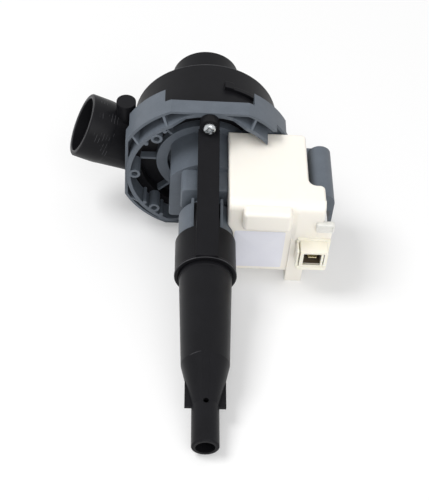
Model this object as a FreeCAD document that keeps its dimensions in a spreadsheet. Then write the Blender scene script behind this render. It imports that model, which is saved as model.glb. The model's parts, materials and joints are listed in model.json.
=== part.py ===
"""Dishwasher circulation pump: a magnet-driven pump with its tail tube, as separate pieces.

Every piece is modelled in the pump's own frame, seen from the tail end: X to the right, Y up
and Z along the pump axis towards the tail, with Z = 0 on the front face of the motor flange.
One placement then lays them all down as the pump rests, on its tip, flange and foot, with
the centre of the inlet's mouth as the origin. All lengths are in millimetres.
"""
import FreeCAD, Part
import math
import operator
import os

import Sketcher

Vector = FreeCAD.Vector

SIZES = {
    # Pump casing
    "drum_radius": 45.7,
    "drum_rear": 48.5,
    "casing_wall": 2.6,
    "inlet_radius": 21.9,
    "inlet_length": 38.9,
    "outlet_radius": 20.5,
    "outlet_wall": 2.9,
    "outlet_root": 18.3,
    "outlet_rise": 24.0,
    "outlet_reach": 75.0,
    "outlet_barrel": 13.0,
    "outlet_taper": 22.0,
    "port_radius": 6.1,
    "port_side": 51.0,
    "port_top": 29.0,
    "lid_collar": 1.3,
    "bayonet_height": 2.2,
    "bayonet_width": 2.6,
    "bayonet_angle": 20.0,
    "bayonet_turn": 52.0,
    "bayonet_station": 29.0,
    # Motor flange
    "ring_radius": 55.5,
    "flat_inset": 5.2,
    "ring_inner": 46.8,
    "rim_height": 4.4,
    "rim_gap": 14.0,
    "rim_ramp": 8.0,
    "band_depth": 10.4,
    "corner_depth": 20.6,
    "corner_gap": 27.0,
    "pocket_depth": 8.5,
    "pocket_wall": 1.8,
    "pocket_rib": 1.5,
    "pocket_rib_turn": 13.8,
    "pocket_inner": 49.2,
    "ledge_depth": 8.0,
    "cavity_radius": 41.4,
    "cavity_depth": 14.6,
    "web_thickness": 2.4,
    "hub_radius": 31.0,
    "hub_depth": 9.0,
    "spoke_thickness": 1.6,
    "boss_circle": 44.2,
    "boss_radius": 3.5,
    "boss_hole": 1.9,
    "hook_radius": 1.3,
    "hook_turn": 9.7,
    "house_radius": 26.0,
    "house_front": 19.0,
    "house_wall": 2.0,
    "house_flat": 22.0,
    "spigot_length": 5.0,
    "spigot_wall": 4.4,
    "wing_reach": 66.0,
    "wing_top": 9.0,
    "wing_bottom": 15.0,
    "wing_thickness": 8.0,
    "rail_radius": 7.05,
    "rail_height": 24.6,
    "rail_front": 39.0,
    "rail_rear": -2.0,
    "rail_wall": 2.0,
    "rail_bar": 14.0,
    "rail_gap": 2.3,
    "clip_right": 36.0,
    "seat_height": 37.0,
    # Rotor can with its socket for the tail
    "can_radius": 14.4,
    "can_wall": 1.5,
    "can_flange": 20.0,
    "neck_length": 12.0,
    "lip_height": 0.7,
    "lip_length": 1.2,
    "groove_radius": 12.6,
    "groove_length": 8.0,
    "socket_radius": 16.2,
    "socket_length": 31.0,
    "socket_wall": 2.0,
    "guide_thickness": 1.6,
    "guide_top": 21.0,
    "guide_low": 15.0,
    "guide_length": 17.5,
    "guide_gap": 1.4,
    "gasket_thickness": 1.0,
    "plate_thickness": 2.0,
    "plate_screw_radius": 1.5,
    # Rotor and bearings
    "shaft_radius": 3.0,
    "shaft_chamfer": 0.5,
    "bearing_play": 0.05,
    "bush_radius": 4.5,
    "bush_length": 6.6,
    "cup_radius": 6.5,
    "cup_length": 6.0,
    "seat_wall": 2.0,
    "thrust_play": 0.4,
    "washer_thickness": 1.2,
    "washer_radius": 6.0,
    "magnet_radius": 12.2,
    "magnet_length": 23.0,
    "magnet_core": 7.0,
    # Impeller
    "impeller_radius": 32.0,
    "impeller_disc": 2.0,
    "impeller_gap": 1.0,
    "vane_height": 9.0,
    "vane_thickness": 1.8,
    "vane_count": 6,
    "vane_inner": 13.5,
    "vane_inlet_angle": 25.0,
    "vane_outlet_angle": 32.0,
    "eye_radius": 17.2,
    "eye_wall": 1.6,
    "eye_reach": 8.0,
    "dog_sleeve": 5.0,
    "dog_radius": 9.0,
    "dog_length": 7.0,
    "dog_angle": 60.0,
    "dog_play": 0.3,
    "dog_start": 20.0,
    "dog_gap": 0.5,
    "clip_radius": 6.0,
    "clip_thickness": 1.4,
    # Stator
    "stack_front": 16.5,
    "stack_length": 15.0,
    "pole_gap": 0.5,
    "pole_clearance": 0.4,
    "pole_split": 6.0,
    "leg_inner": 8.0,
    "leg_outer": 22.0,
    "yoke_outer": 58.0,
    "yoke_width": 11.5,
    "rivet_radius": 1.6,
    "bobbin_wall": 1.0,
    "bobbin_length": 19.5,
    "bobbin_fit": 0.2,
    "winding": 4.2,
    # Coil cover
    "cover_left": 12.5,
    "cover_right": 60.0,
    "cover_top": 29.6,
    "cover_rear": 6.5,
    "cover_front": 53.0,
    "cover_wall": 1.6,
    "cover_roll": 6.0,
    "cover_edge": 1.6,
    "cover_corner": 3.0,
    "shoulder_right": 69.5,
    "shoulder_rear": 35.2,
    "shoulder_fillet": 5.0,
    "bump_left": 21.0,
    "bump_right": 50.0,
    "bump_bottom": 12.0,
    "bump_top": 27.5,
    "bump_height": 6.0,
    "foot_left": 51.4,
    "foot_width": 10.3,
    "foot_front": 54.0,
    "foot_depth": 10.0,
    "cutout_length": 19.0,
    "cutout_height": 9.0,
    "cutout_thickness": 4.6,
    "label_left": 17.2,
    "label_width": 30.6,
    "label_height": 33.0,
    "label_top": 6.0,
    "label_thickness": 0.25,
    # Terminals
    "plug_left": 56.8,
    "plug_width": 16.7,
    "plug_top": 1.4,
    "plug_height": 16.2,
    "plug_rear": 50.0,
    "plug_length": 14.0,
    "plug_wall": 1.5,
    "plug_mouth": 10.0,
    "plug_depth": 11.0,
    "blade_width": 6.3,
    "blade_thickness": 0.8,
    "blade_length": 7.4,
    "blade_pitch": 5.0,
    "cap_left": 64.8,
    "cap_width": 11.0,
    "cap_bottom": 10.4,
    "cap_height": 6.0,
    "cap_length": 3.6,
    # Tail
    "collar_radius": 18.0,
    "collar_length": 24.4,
    "collar_lip": 2.0,
    "tail_flange": 12.0,
    "tail_fit": 0.2,
    "strap_width": 12.8,
    "strap_thickness": 2.8,
    "strap_low": 19.5,
    "strap_high": 39.0,
    "screw_boss_radius": 6.0,
    "screw_boss_height": 43.6,
    "screw_boss_front": 5.8,
    "screw_head_radius": 4.0,
    "screw_head_height": 2.6,
    "screw_radius": 1.9,
    "screw_length": 13.0,
    "shoulder_radius": 15.4,
    "shoulder_length": 3.0,
    "barrel_radius": 13.6,
    "barrel_length": 59.5,
    "cone_length": 27.1,
    "tip_radius": 7.55,
    "tip_length": 24.4,
    "tip_bore": 5.3,
    "tip_round": 0.7,
    "tail_wall": 2.0,
    "plug_in_length": 18.0,
    "fin_width": 22.5,
    "fin_thickness": 2.0,
    "fin_length": 24.0,
    "cross_hole": 1.5,
    # Clearances between pieces that are assembled
    "fit": 0.2,
    "seal_radius": 1.25,
}

doc = FreeCAD.newDocument("circulation_pump")
sheet = doc.addObject("Spreadsheet::Sheet", "sizes")
for row, (alias, value) in enumerate(SIZES.items(), start=1):
    sheet.set(f"A{row}", alias)
    sheet.set(f"B{row}", str(value))
    sheet.setAlias(f"B{row}", alias)
doc.recompute()


class Size:
    """A dimension held twice: as a number, and as the sheet's expression that gives it."""

    def __init__(self, number, text):
        self.number = number
        self.text = text

    def joined(self, sign, work, other, swap=False):
        other = as_size(other)
        first, second = (other, self) if swap else (self, other)
        return Size(work(first.number, second.number), f"({first.text} {sign} {second.text})")

    def __add__(self, other):
        return self.joined("+", operator.add, other)

    def __radd__(self, other):
        return self.joined("+", operator.add, other, swap=True)

    def __sub__(self, other):
        return self.joined("-", operator.sub, other)

    def __rsub__(self, other):
        return self.joined("-", operator.sub, other, swap=True)

    def __mul__(self, other):
        return self.joined("*", operator.mul, other)

    def __rmul__(self, other):
        return self.joined("*", operator.mul, other, swap=True)

    def __truediv__(self, other):
        return self.joined("/", operator.truediv, other)

    def __neg__(self):
        return Size(-self.number, f"(-1 * {self.text})")

    def __float__(self):
        return float(self.number)


def as_size(value):
    """A plain number as a Size; a Size as it is."""
    return value if isinstance(value, Size) else Size(float(value), repr(float(value)))


def root(value):
    """The square root of a size."""
    return Size(math.sqrt(value.number), f"sqrt({value.text})")


def cosine(angle):
    """The cosine of an angle in degrees."""
    return Size(math.cos(math.radians(angle.number)), f"cos({angle.text} * 1 deg)")


def sine(angle):
    """The sine of an angle in degrees."""
    return Size(math.sin(math.radians(angle.number)), f"sin({angle.text} * 1 deg)")


def leg(long_side, short_side):
    """The third side of a right triangle, from its longest side and another."""
    return root(long_side * long_side - short_side * short_side)


class Sheet:
    """Reads each driving dimension of the sheet as a Size."""

    def __getattr__(self, alias):
        return Size(float(sheet.get(alias)), f"sizes.{alias}")


s = Sheet()

# Stations along the pump axis and radii that several pieces share
ring_flat = s.ring_radius - s.flat_inset
inlet_mouth = s.drum_rear + s.inlet_length
drum_bore = s.drum_radius - s.casing_wall
drum_front = s.band_depth + s.fit
drum_middle = (s.drum_rear + drum_front) / 2
chamber_rear = s.drum_rear - s.casing_wall
sleeve_radius = s.drum_radius + s.fit
spigot_radius = drum_bore - s.fit
spigot_bore = spigot_radius - s.spigot_wall
web_rear = s.cavity_depth + s.web_thickness
spigot_rear = web_rear + s.spigot_length
house_bore = s.house_radius - s.house_wall
can_hole = s.can_radius + s.fit
can_bore = s.can_radius - s.can_wall
neck_front = s.house_front + s.neck_length
can_end = neck_front - s.seat_wall
socket_rear = neck_front + s.groove_length
socket_front = socket_rear + s.socket_length
socket_bore = s.socket_radius - s.socket_wall
collar_front = socket_front + s.tail_flange + s.collar_lip
collar_rear = collar_front - s.collar_length
gasket_rear = web_rear + s.gasket_thickness
can_rear = gasket_rear + s.plate_thickness
plate_rear = can_rear + s.plate_thickness
rear_seat_end = plate_rear - s.seat_wall
front_seat = can_end - s.cup_length
seat_radius = s.cup_radius + s.seat_wall
rotor_front = can_end - s.bush_length - s.thrust_play
rotor_rear = rear_seat_end - s.bush_length - s.thrust_play
core_front = rotor_front - s.washer_thickness
core_rear = rotor_rear - s.washer_thickness
stack_rear = s.stack_front - s.stack_length
stack_middle = s.stack_front - s.stack_length / 2
impeller_front = plate_rear + s.impeller_gap
disc_rear = impeller_front + s.impeller_disc
vane_rear = disc_rear + s.vane_height
shroud_rear = vane_rear + s.eye_wall
dog_front = impeller_front + s.dog_play
dog_rear = dog_front + s.dog_length
dog_floor = dog_rear + s.dog_play
sleeve_rear = dog_floor + s.impeller_disc + s.bush_radius
shaft_hole = s.shaft_radius + s.bearing_play
barrel_start = collar_front + s.shoulder_length
cone_start = barrel_start + s.barrel_length
tip_start = cone_start + s.cone_length
tip_end = tip_start + s.tip_length
leg_middle = (s.leg_inner + s.leg_outer) / 2
leg_half = (s.leg_outer - s.leg_inner) / 2
cover_span = s.cover_rear + s.cover_front
plate_post = s.plate_screw_radius * 2
plate_screw_circle = spigot_bore - plate_post * 0.8

pieces = []


def bound(thing, **values):
    """Sets properties of an object, a Size as an expression on the sheet."""
    for name, value in values.items():
        if isinstance(value, Size):
            thing.setExpression(name, value.text)
        else:
            setattr(thing, name, value)
    return thing


def at(thing, x, y, z):
    """Puts a primitive or a sketch's offset at a point given by sizes."""
    for axis, value in zip("xyz", (x, y, z)):
        thing.setExpression(f".Placement.Base.{axis}", as_size(value).text)
    return thing


def node(thing, name):
    """Makes an object one piece of the pump, with its name."""
    thing.Label = name
    pieces.append(thing)
    return thing


def body_of(name):
    """A new PartDesign body for one piece."""
    return node(doc.addObject("PartDesign::Body", name), name)


def sketch_on(body, role, level=0.0):
    """A sketch on one of the body's own origin planes, lifted along the plane's normal."""
    plane = next(item for item in body.Origin.OriginFeatures if item.Role == role)
    sketch = body.newObject("Sketcher::SketchObject", "sketch")
    sketch.AttachmentSupport = [(plane, "")]
    sketch.MapMode = "FlatFace"
    sketch.setExpression(".AttachmentOffset.Base.z", as_size(level).text)
    return sketch


def held(sketch, index, position, x, y):
    """Fixes a point of a sketch by its distances from the sketch's origin."""
    for kind, value in (("DistanceX", as_size(x)), ("DistanceY", as_size(y))):
        rule = Sketcher.Constraint(kind, -1, 1, index, position, value.number)
        sketch.setExpression(f"Constraints[{sketch.addConstraint(rule)}]", value.text)


def outline(sketch, *corners):
    """A closed outline, each corner held by its coordinates.

    A corner's third value is the radius of an arc that runs from it to the next corner:
    counter-clockwise about its centre where it is above zero, and clockwise below.
    """
    points = [Vector(float(corner[0]), float(corner[1]), 0) for corner in corners]
    edges = []
    for corner, here, there in zip(corners, points, points[1:] + points[:1]):
        if len(corner) == 2:
            edges.append((sketch.addGeometry(Part.LineSegment(here, there), False), 1))
            continue
        radius = as_size(corner[2])
        turn = 1 if radius.number > 0 else -1
        chord = there - here
        side = Vector(-chord.y, chord.x, 0).normalize() * turn
        centre = (here + there) / 2 + side * math.sqrt(radius.number ** 2 - (chord.Length / 2) ** 2)
        ends = [math.atan2(point.y - centre.y, point.x - centre.x) for point in (here, there)][::turn]
        circle = Part.Circle(centre, Vector(0, 0, 1), abs(radius.number))
        index = sketch.addGeometry(Part.ArcOfCircle(circle, *ends), False)
        rule = sketch.addConstraint(Sketcher.Constraint("Radius", index, abs(radius.number)))
        sketch.setExpression(f"Constraints[{rule}]", (radius * turn).text)
        edges.append((index, 1 if turn > 0 else 2))
    for (index, start), (following, next_start) in zip(edges, edges[1:] + edges[:1]):
        sketch.addConstraint(Sketcher.Constraint("Coincident", index, 3 - start, following, next_start))
    for (index, start), corner in zip(edges, corners):
        held(sketch, index, start, corner[0], corner[1])
    return sketch


def rectangle(sketch, left, bottom, right, top):
    """A rectangle from its four sides."""
    return outline(sketch, (left, bottom), (right, bottom), (right, top), (left, top))


def circle(sketch, x, y, radius):
    """A circle about a point."""
    radius = as_size(radius)
    place = Vector(float(as_size(x)), float(as_size(y)), 0)
    index = sketch.addGeometry(Part.Circle(place, Vector(0, 0, 1), radius.number), False)
    held(sketch, index, 3, x, y)
    rule = sketch.addConstraint(Sketcher.Constraint("Radius", index, radius.number))
    sketch.setExpression(f"Constraints[{rule}]", radius.text)
    return sketch


def grown(body, kind, sketch, **settings):
    """A PartDesign feature made from a sketch."""
    feature = body.newObject("PartDesign::" + kind, kind.lower())
    feature.Profile = sketch
    return bound(feature, **settings)


def pad(body, sketch, length):
    """Material from the sketch along its plane's normal."""
    return grown(body, "Pad", sketch, Length=as_size(length))


def pocket(body, sketch, length):
    """A cut from the sketch against its plane's normal."""
    return grown(body, "Pocket", sketch, Length=as_size(length))


def turned(body, kind, *corners):
    """A Revolution or Groove of an outline of (radius, station) about the pump axis."""
    sketch = outline(sketch_on(body, "XZ_Plane"), *corners)
    return grown(body, kind, sketch, ReferenceAxis=(sketch, ["V_Axis"]), Angle=360)


def around(body, features, count, angle=360.0):
    """Repeats features about the pump axis."""
    pattern = body.newObject("PartDesign::PolarPattern", "pattern")
    pattern.Originals = features
    pattern.Axis = (features[0].Profile[0], ["N_Axis"])
    pattern.Angle = angle
    pattern.Occurrences = int(round(float(count)))
    body.Tip = pattern
    return pattern


def edges_where(shape, test):
    """The numbers of the edges of a shape that pass a test."""
    return [number for number, edge in enumerate(shape.Edges, start=1) if test(edge)]


def eased(body, radius, test):
    """Rounds those edges of a body's last feature that pass a test."""
    doc.recompute()
    base = body.Tip
    names = [f"Edge{number}" for number in edges_where(base.Shape, test)]
    fillet = body.newObject("PartDesign::Fillet", "fillet")
    fillet.Base = (base, names)
    return bound(fillet, Radius=as_size(radius))


def disc(radius, rear, front, x=0.0, y=0.0):
    """A cylinder along the pump axis between two stations."""
    made = doc.addObject("Part::Cylinder", "disc")
    bound(made, Radius=as_size(radius), Height=as_size(front) - rear)
    return at(made, x, y, rear)


def block(left, bottom, rear, right, top, front):
    """A box between two opposite corners."""
    made = doc.addObject("Part::Box", "block")
    bound(made, Length=as_size(right) - left, Width=as_size(top) - bottom, Height=as_size(front) - rear)
    return at(made, left, bottom, rear)


def wedge(radius, rear, front, start, sweep):
    """A sector of a cylinder about the pump axis, from a start angle over a sweep."""
    made = disc(radius, rear, front)
    bound(made, Angle=as_size(sweep))
    made.setExpression(".Placement.Rotation.Angle", as_size(start).text)
    return made


def tube(outer, inner, rear, front):
    """A plain tube along the pump axis."""
    return less(disc(outer, rear, front), disc(inner, as_size(rear) - 1, as_size(front) + 1))


def joined(*things):
    """The union of several objects."""
    made = doc.addObject("Part::MultiFuse", "union")
    made.Shapes = list(things)
    return made


def less(base, *tools):
    """An object with others cut from it."""
    made = doc.addObject("Part::Cut", "cut")
    made.Base = base
    made.Tool = tools[0] if len(tools) == 1 else joined(*tools)
    return made


def shared(first, second):
    """What two objects have in common."""
    made = doc.addObject("Part::Common", "shared")
    made.Base = first
    made.Tool = second
    return made


def trimmed(kind, thing, amount, test):
    """A Fillet or Chamfer on those edges of an object that pass a test."""
    doc.recompute()
    made = doc.addObject("Part::" + kind, kind.lower())
    made.Base = thing
    size = float(as_size(amount))
    made.Edges = [(number, size, size) for number in edges_where(thing.Shape, test)]
    return made


def near(value, target):
    """Whether a measured coordinate is at a size."""
    return abs(value - float(target)) < 1e-4


def level_edge(edge, station):
    """Whether an edge lies wholly at one station of the pump axis."""
    return near(edge.BoundBox.ZMin, station) and near(edge.BoundBox.ZMax, station)


def outlet_run(radius, start, end, end_radius=None):
    """A stretch of the outlet, round its tangential axis, between two distances along it."""
    if end_radius is None:
        made = doc.addObject("Part::Cylinder", "outlet")
        bound(made, Radius=as_size(radius))
    else:
        made = doc.addObject("Part::Cone", "outlet")
        bound(made, Radius1=as_size(radius), Radius2=as_size(end_radius))
    bound(made, Height=as_size(end) - start)
    offset = s.drum_radius - s.outlet_radius
    side, rise = cosine(s.outlet_rise), sine(s.outlet_rise)
    made.Placement = FreeCAD.Placement(
        Vector(), FreeCAD.Rotation(-s.outlet_rise.number, -90, 0))
    return at(made, -(rise * offset) - side * start, -(side * offset) + rise * start, -drum_middle)


def volute_casing():
    """Round drum with the tangential outlet, a blind port and the bayonet rib."""
    barrel_start_at = s.outlet_reach - s.outlet_barrel
    taper_start = barrel_start_at - s.outlet_taper
    barrel = trimmed(
        "Chamfer", outlet_run(s.outlet_radius, barrel_start_at, s.outlet_reach), s.outlet_wall / 4,
        lambda edge: edge.CenterOfMass.x < -(s.outlet_reach.number * 0.8) and len(edge.Vertexes) == 1)
    drum = trimmed(
        "Chamfer", disc(s.drum_radius, -s.drum_rear, -drum_front), s.casing_wall / 4,
        lambda edge: level_edge(edge, -s.drum_rear))
    port = doc.addObject("Part::Cylinder", "port")
    bound(port, Radius=s.port_radius, Height=s.port_top)
    port.Placement = FreeCAD.Placement(Vector(), FreeCAD.Rotation(Vector(1, 0, 0), -90))
    at(port, -s.port_side, 0, -drum_middle)
    rib_radius = s.drum_radius + s.bayonet_height
    rib_end = s.bayonet_turn + s.bayonet_angle
    outside = joined(
        drum,
        outlet_run(s.outlet_root, 0, taper_start),
        outlet_run(s.outlet_root, taper_start, barrel_start_at, s.outlet_radius),
        barrel,
        port,
        wedge(rib_radius, -s.bayonet_station, s.bayonet_width - s.bayonet_station,
              s.bayonet_turn, s.bayonet_angle),
        wedge(rib_radius + s.bayonet_height / 3, -(s.bayonet_station + s.bayonet_width),
              s.bayonet_width - s.bayonet_station, rib_end, s.bayonet_angle / 3))
    node(less(
        outside,
        disc(drum_bore, -(s.drum_rear + 1), 1 - drum_front),
        outlet_run(s.outlet_root - s.outlet_wall, 0, taper_start),
        outlet_run(s.outlet_root - s.outlet_wall, taper_start, barrel_start_at,
                   s.outlet_radius - s.outlet_wall),
        outlet_run(s.outlet_radius - s.outlet_wall, barrel_start_at, s.outlet_reach + 1)), "volute_casing")


def inlet_cover():
    """Lid set in the drum's rear, with the axial inlet and the inner collar for the impeller's eye."""
    body = body_of("inlet_cover")
    bore = s.inlet_radius - s.casing_wall
    collar_reach = chamber_rear - s.casing_wall * 1.5
    turned(body, "Revolution",
           (bore, -inlet_mouth), (s.inlet_radius, -inlet_mouth), (s.inlet_radius, -s.drum_rear),
           (drum_bore, -s.drum_rear), (drum_bore, -chamber_rear),
           (bore + s.lid_collar * 2, -chamber_rear), (bore + s.lid_collar, -collar_reach),
           (bore, -collar_reach))


def casing_seal():
    """Seal ring of eight-sided section in the flange's spigot, against the drum's bore."""
    body = body_of("casing_seal")
    middle, station = drum_bore - s.seal_radius, web_rear + s.spigot_length / 2
    half = s.seal_radius / 2
    turned(body, "Revolution",
           (middle - half, -station - s.seal_radius), (middle + half, -station - s.seal_radius),
           (drum_bore, -station - half), (drum_bore, -station + half),
           (middle + half, -station + s.seal_radius), (middle - half, -station + s.seal_radius),
           (middle - s.seal_radius, -station + half), (middle - s.seal_radius, -station - half))


def motor_flange():
    """Ribbed ring with raised corners, hub, pole house, wing and side rail, moulded in one."""
    body = body_of("motor_flange")
    # The ring with its raised inner rim, its four flats, and the gaps between its raised corners
    turned(body, "Revolution",
           (s.ring_inner, s.rim_height), (s.pocket_inner, s.rim_height), (s.pocket_inner, 0),
           (s.ring_radius, 0), (s.ring_radius, -s.corner_depth),
           (sleeve_radius, -s.corner_depth), (sleeve_radius, -s.band_depth),
           (s.ring_inner, -s.band_depth))
    frame = rectangle(sketch_on(body, "XY_Plane"),
                      -(s.ring_radius + 2), -(s.ring_radius + 2), s.ring_radius + 2, s.ring_radius + 2)
    pocket(body, rectangle(frame, -ring_flat, -ring_flat, ring_flat, ring_flat), s.corner_depth)
    gap = pocket(body, rectangle(sketch_on(body, "XY_Plane", -s.band_depth),
                                 -s.corner_gap, 0, s.corner_gap, s.ring_radius + 2),
                 s.corner_depth - s.band_depth)
    around(body, [gap], 4)
    # The gap on the outlet's side reaches further down, past the outlet's root
    offset = s.drum_radius - s.outlet_radius
    aside = offset + leg(s.outlet_root, drum_middle - s.corner_depth)
    low = cosine(s.outlet_rise) * aside - sine(s.outlet_rise) * leg(sleeve_radius, aside) + s.fit * 3
    past = rectangle(sketch_on(body, "XY_Plane", -s.band_depth), -(s.ring_radius + 2), -low, 0, 0)
    pocket(body, past, s.corner_depth - s.band_depth)
    # The rim drops to the ring's face at the top and bottom, over a ramp at each end
    foot, crest = s.rim_gap, s.rim_gap + s.rim_ramp
    for level in (-s.house_radius, s.ring_radius):
        drop = outline(sketch_on(body, "XZ_Plane", level),
                       (-foot, 0), (foot, 0), (crest, s.rim_height), (crest, s.rim_height + 1),
                       (-crest, s.rim_height + 1), (-crest, s.rim_height))
        pocket(body, drop, s.ring_radius - s.house_radius)
    # Lightening pockets behind the corners, each crossed by two ribs
    flat = ring_flat - s.pocket_wall
    round_wall = s.ring_radius - s.pocket_wall
    start = s.pocket_inner / 5
    corner = outline(sketch_on(body, "XY_Plane"),
                     (start, flat), (leg(round_wall, flat), flat, -round_wall),
                     (flat, leg(round_wall, flat)), (flat, start),
                     (leg(s.pocket_inner, start), start, s.pocket_inner),
                     (start, leg(s.pocket_inner, start)))
    around(body, [pocket(body, corner, s.pocket_depth)], 4)
    ribs = sketch_on(body, "XY_Plane", -s.pocket_depth)
    for turn in (45 - s.pocket_rib_turn, 45 + s.pocket_rib_turn):
        outline(ribs, *[
            (cosine(turn) * reach - sine(turn) * half, sine(turn) * reach + cosine(turn) * half)
            for reach, half in ((s.pocket_inner - 0.5, -s.pocket_rib / 2), (round_wall + 0.5, -s.pocket_rib / 2),
                                (round_wall + 0.5, s.pocket_rib / 2), (s.pocket_inner - 0.5, s.pocket_rib / 2))])
    around(body, [pad(body, ribs, s.pocket_depth + s.rim_height)], 4)
    turned(body, "Groove",
           (s.pocket_inner, s.rim_height), (s.ring_radius - s.pocket_wall, 0), (s.ring_radius + 1, 0),
           (s.ring_radius + 1, s.rim_height + 1), (s.pocket_inner, s.rim_height + 1))
    # Ledge, deep cavity, hub, pole house, web and the spigot that centres the drum
    groove_rear = web_rear + s.spigot_length / 2 + s.seal_radius + s.fit / 2
    groove_front = web_rear + s.spigot_length / 2 - s.seal_radius - s.fit / 2
    groove_floor = drum_bore - s.seal_radius * 2
    turned(body, "Revolution",
           (can_hole, s.house_front), (s.house_radius, s.house_front),
           (s.house_radius, -s.hub_depth), (s.hub_radius, -s.hub_depth),
           (s.hub_radius, -s.cavity_depth), (s.cavity_radius, -s.cavity_depth),
           (s.cavity_radius, -s.ledge_depth), (s.ring_inner + 0.2, -s.ledge_depth),
           (s.ring_inner + 0.2, -s.band_depth), (spigot_radius, -s.band_depth),
           (spigot_radius, -groove_front), (groove_floor, -groove_front),
           (groove_floor, -groove_rear), (spigot_radius, -groove_rear),
           (spigot_radius, -spigot_rear), (spigot_bore, -spigot_rear),
           (spigot_bore, -web_rear), (can_hole, -web_rear),
           (can_hole, -s.cavity_depth), (house_bore, -s.cavity_depth),
           (house_bore, s.house_front - s.house_wall), (can_hole, s.house_front - s.house_wall))
    spoke = rectangle(sketch_on(body, "XY_Plane", -s.cavity_depth),
                      s.hub_radius - 0.5, -s.spoke_thickness / 2,
                      s.cavity_radius + 0.5, s.spoke_thickness / 2)
    around(body, [pad(body, spoke, s.cavity_depth - s.hub_depth - 0.6)], 8)
    # Screw bosses against the left of the rim, the upper and the lower each between two small hooks
    diagonal = as_size(135.0)
    boss_x, boss_y = cosine(diagonal) * s.boss_circle, sine(diagonal) * s.boss_circle
    boss = circle(sketch_on(body, "XY_Plane", -s.ledge_depth), boss_x, boss_y, s.boss_radius)
    bore = circle(sketch_on(body, "XY_Plane", s.rim_height), boss_x, boss_y, s.boss_hole)
    post = pad(body, boss, s.ledge_depth + s.rim_height)
    around(body, [post, pocket(body, bore, s.ledge_depth + s.rim_height)], 3, 90.0)
    hooks = sketch_on(body, "XY_Plane", -s.ledge_depth)
    hook_circle = s.ring_inner - s.hook_radius * 0.7
    for turn in (diagonal - s.hook_turn, diagonal + s.hook_turn):
        circle(hooks, cosine(turn) * hook_circle, sine(turn) * hook_circle, s.hook_radius)
    around(body, [pad(body, hooks, s.ledge_depth + s.rim_height)], 2, 90.0)
    # The pole house is flat on its left and open to the coils on its right
    half = leg(s.house_radius - s.house_wall / 2, s.house_flat)
    wall = rectangle(sketch_on(body, "XY_Plane", -s.hub_depth),
                     -s.house_flat, -half, s.house_wall - s.house_flat, half)
    pad(body, wall, s.hub_depth + s.house_front)
    off = rectangle(sketch_on(body, "XY_Plane", s.house_front),
                    -(s.house_radius + 1), -s.house_radius, -s.house_flat, s.house_radius)
    pocket(body, off, s.hub_depth + s.house_front)
    window = rectangle(sketch_on(body, "XY_Plane", s.house_front - s.house_wall),
                       leg(house_bore, s.leg_outer + s.pole_clearance), -(s.leg_outer + s.pole_clearance),
                       s.house_radius + 1, s.leg_outer + s.pole_clearance)
    pocket(body, window, s.house_front - s.house_wall - stack_rear + s.pole_clearance)
    # Post for the retainer's screw, flush with the ring's face that carries the retainer's boss
    stand = circle(sketch_on(body, "XY_Plane", -s.ledge_depth), 0, s.screw_boss_height, s.screw_boss_radius * 0.75)
    pad(body, stand, s.ledge_depth)
    bore = circle(sketch_on(body, "XY_Plane"), 0, s.screw_boss_height, s.screw_radius + 0.05)
    pocket(body, bore, s.screw_length - s.screw_boss_front + s.screw_radius)
    # Seat of the coil cover in the ring; the rim's ends stay as clips over the cover's top and bottom
    seat_top = s.cover_top + s.fit
    for left, top in ((s.hub_radius, seat_top), (s.clip_right, s.seat_height)):
        seat = rectangle(sketch_on(body, "XY_Plane", s.rim_height + 1), left, -top, s.ring_radius + 2, top)
        pocket(body, seat, s.rim_height + 1 + s.cover_rear + s.fit)
    # Wing behind the coil cover, and the rail that runs forward beside it
    wing_front = s.cover_rear + s.fit * 3
    rail_left = s.cover_right + s.rail_gap
    rail_right = rail_left + s.rail_radius * 2
    wing = rectangle(sketch_on(body, "XY_Plane", -(wing_front + s.wing_thickness)),
                     ring_flat - 1.5, -s.wing_bottom, s.wing_reach, s.wing_top)
    pad(body, wing, s.wing_thickness)
    arm = rectangle(sketch_on(body, "XY_Plane", -(wing_front + s.wing_thickness)),
                    rail_left, 0, rail_right, s.wing_top)
    pad(body, arm, wing_front + s.wing_thickness + s.rail_rear + 0.3)
    spring = s.rail_height - s.rail_radius
    bar_foot = s.rail_height - s.rail_bar
    arch = outline(sketch_on(body, "XY_Plane", s.rail_rear),
                   (rail_left, bar_foot), (rail_right - s.rail_wall, bar_foot),
                   (rail_right - s.rail_wall, 0), (rail_right, 0), (rail_right, spring, s.rail_radius),
                   (rail_left + s.rail_radius, s.rail_height, s.rail_radius), (rail_left, spring))
    pad(body, arch, s.rail_front - s.rail_rear)
    inner = s.rail_radius - s.rail_wall
    hollow = outline(sketch_on(body, "XY_Plane", s.rail_front - s.rail_wall),
                     (rail_left + s.rail_wall, bar_foot - 1), (rail_right - s.rail_wall, bar_foot - 1),
                     (rail_right - s.rail_wall, spring, inner),
                     (rail_left + s.rail_radius, spring + inner, inner), (rail_left + s.rail_wall, spring))
    pocket(body, hollow, s.rail_front - s.rail_rear - s.rail_wall)
    past_shoulder = rectangle(sketch_on(body, "XY_Plane", s.rail_front), rail_left, 0,
                              s.shoulder_right + s.fit, s.rail_height)
    pocket(body, past_shoulder, s.rail_front - s.shoulder_rear + s.shoulder_fillet / 5 + s.fit)
    # Posts on the web's back for the chamber plate's screws
    ring_posts = sketch_on(body, "XY_Plane", -can_rear)
    circle(ring_posts, 0, plate_screw_circle, plate_post)
    around(body, [pad(body, ring_posts, s.gasket_thickness + s.plate_thickness + 0.3)], 3)
    drilled = circle(sketch_on(body, "XY_Plane", -web_rear), 0, plate_screw_circle, s.plate_screw_radius + 0.05)
    around(body, [pocket(body, drilled, s.gasket_thickness + s.plate_thickness + 1)], 3)


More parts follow.
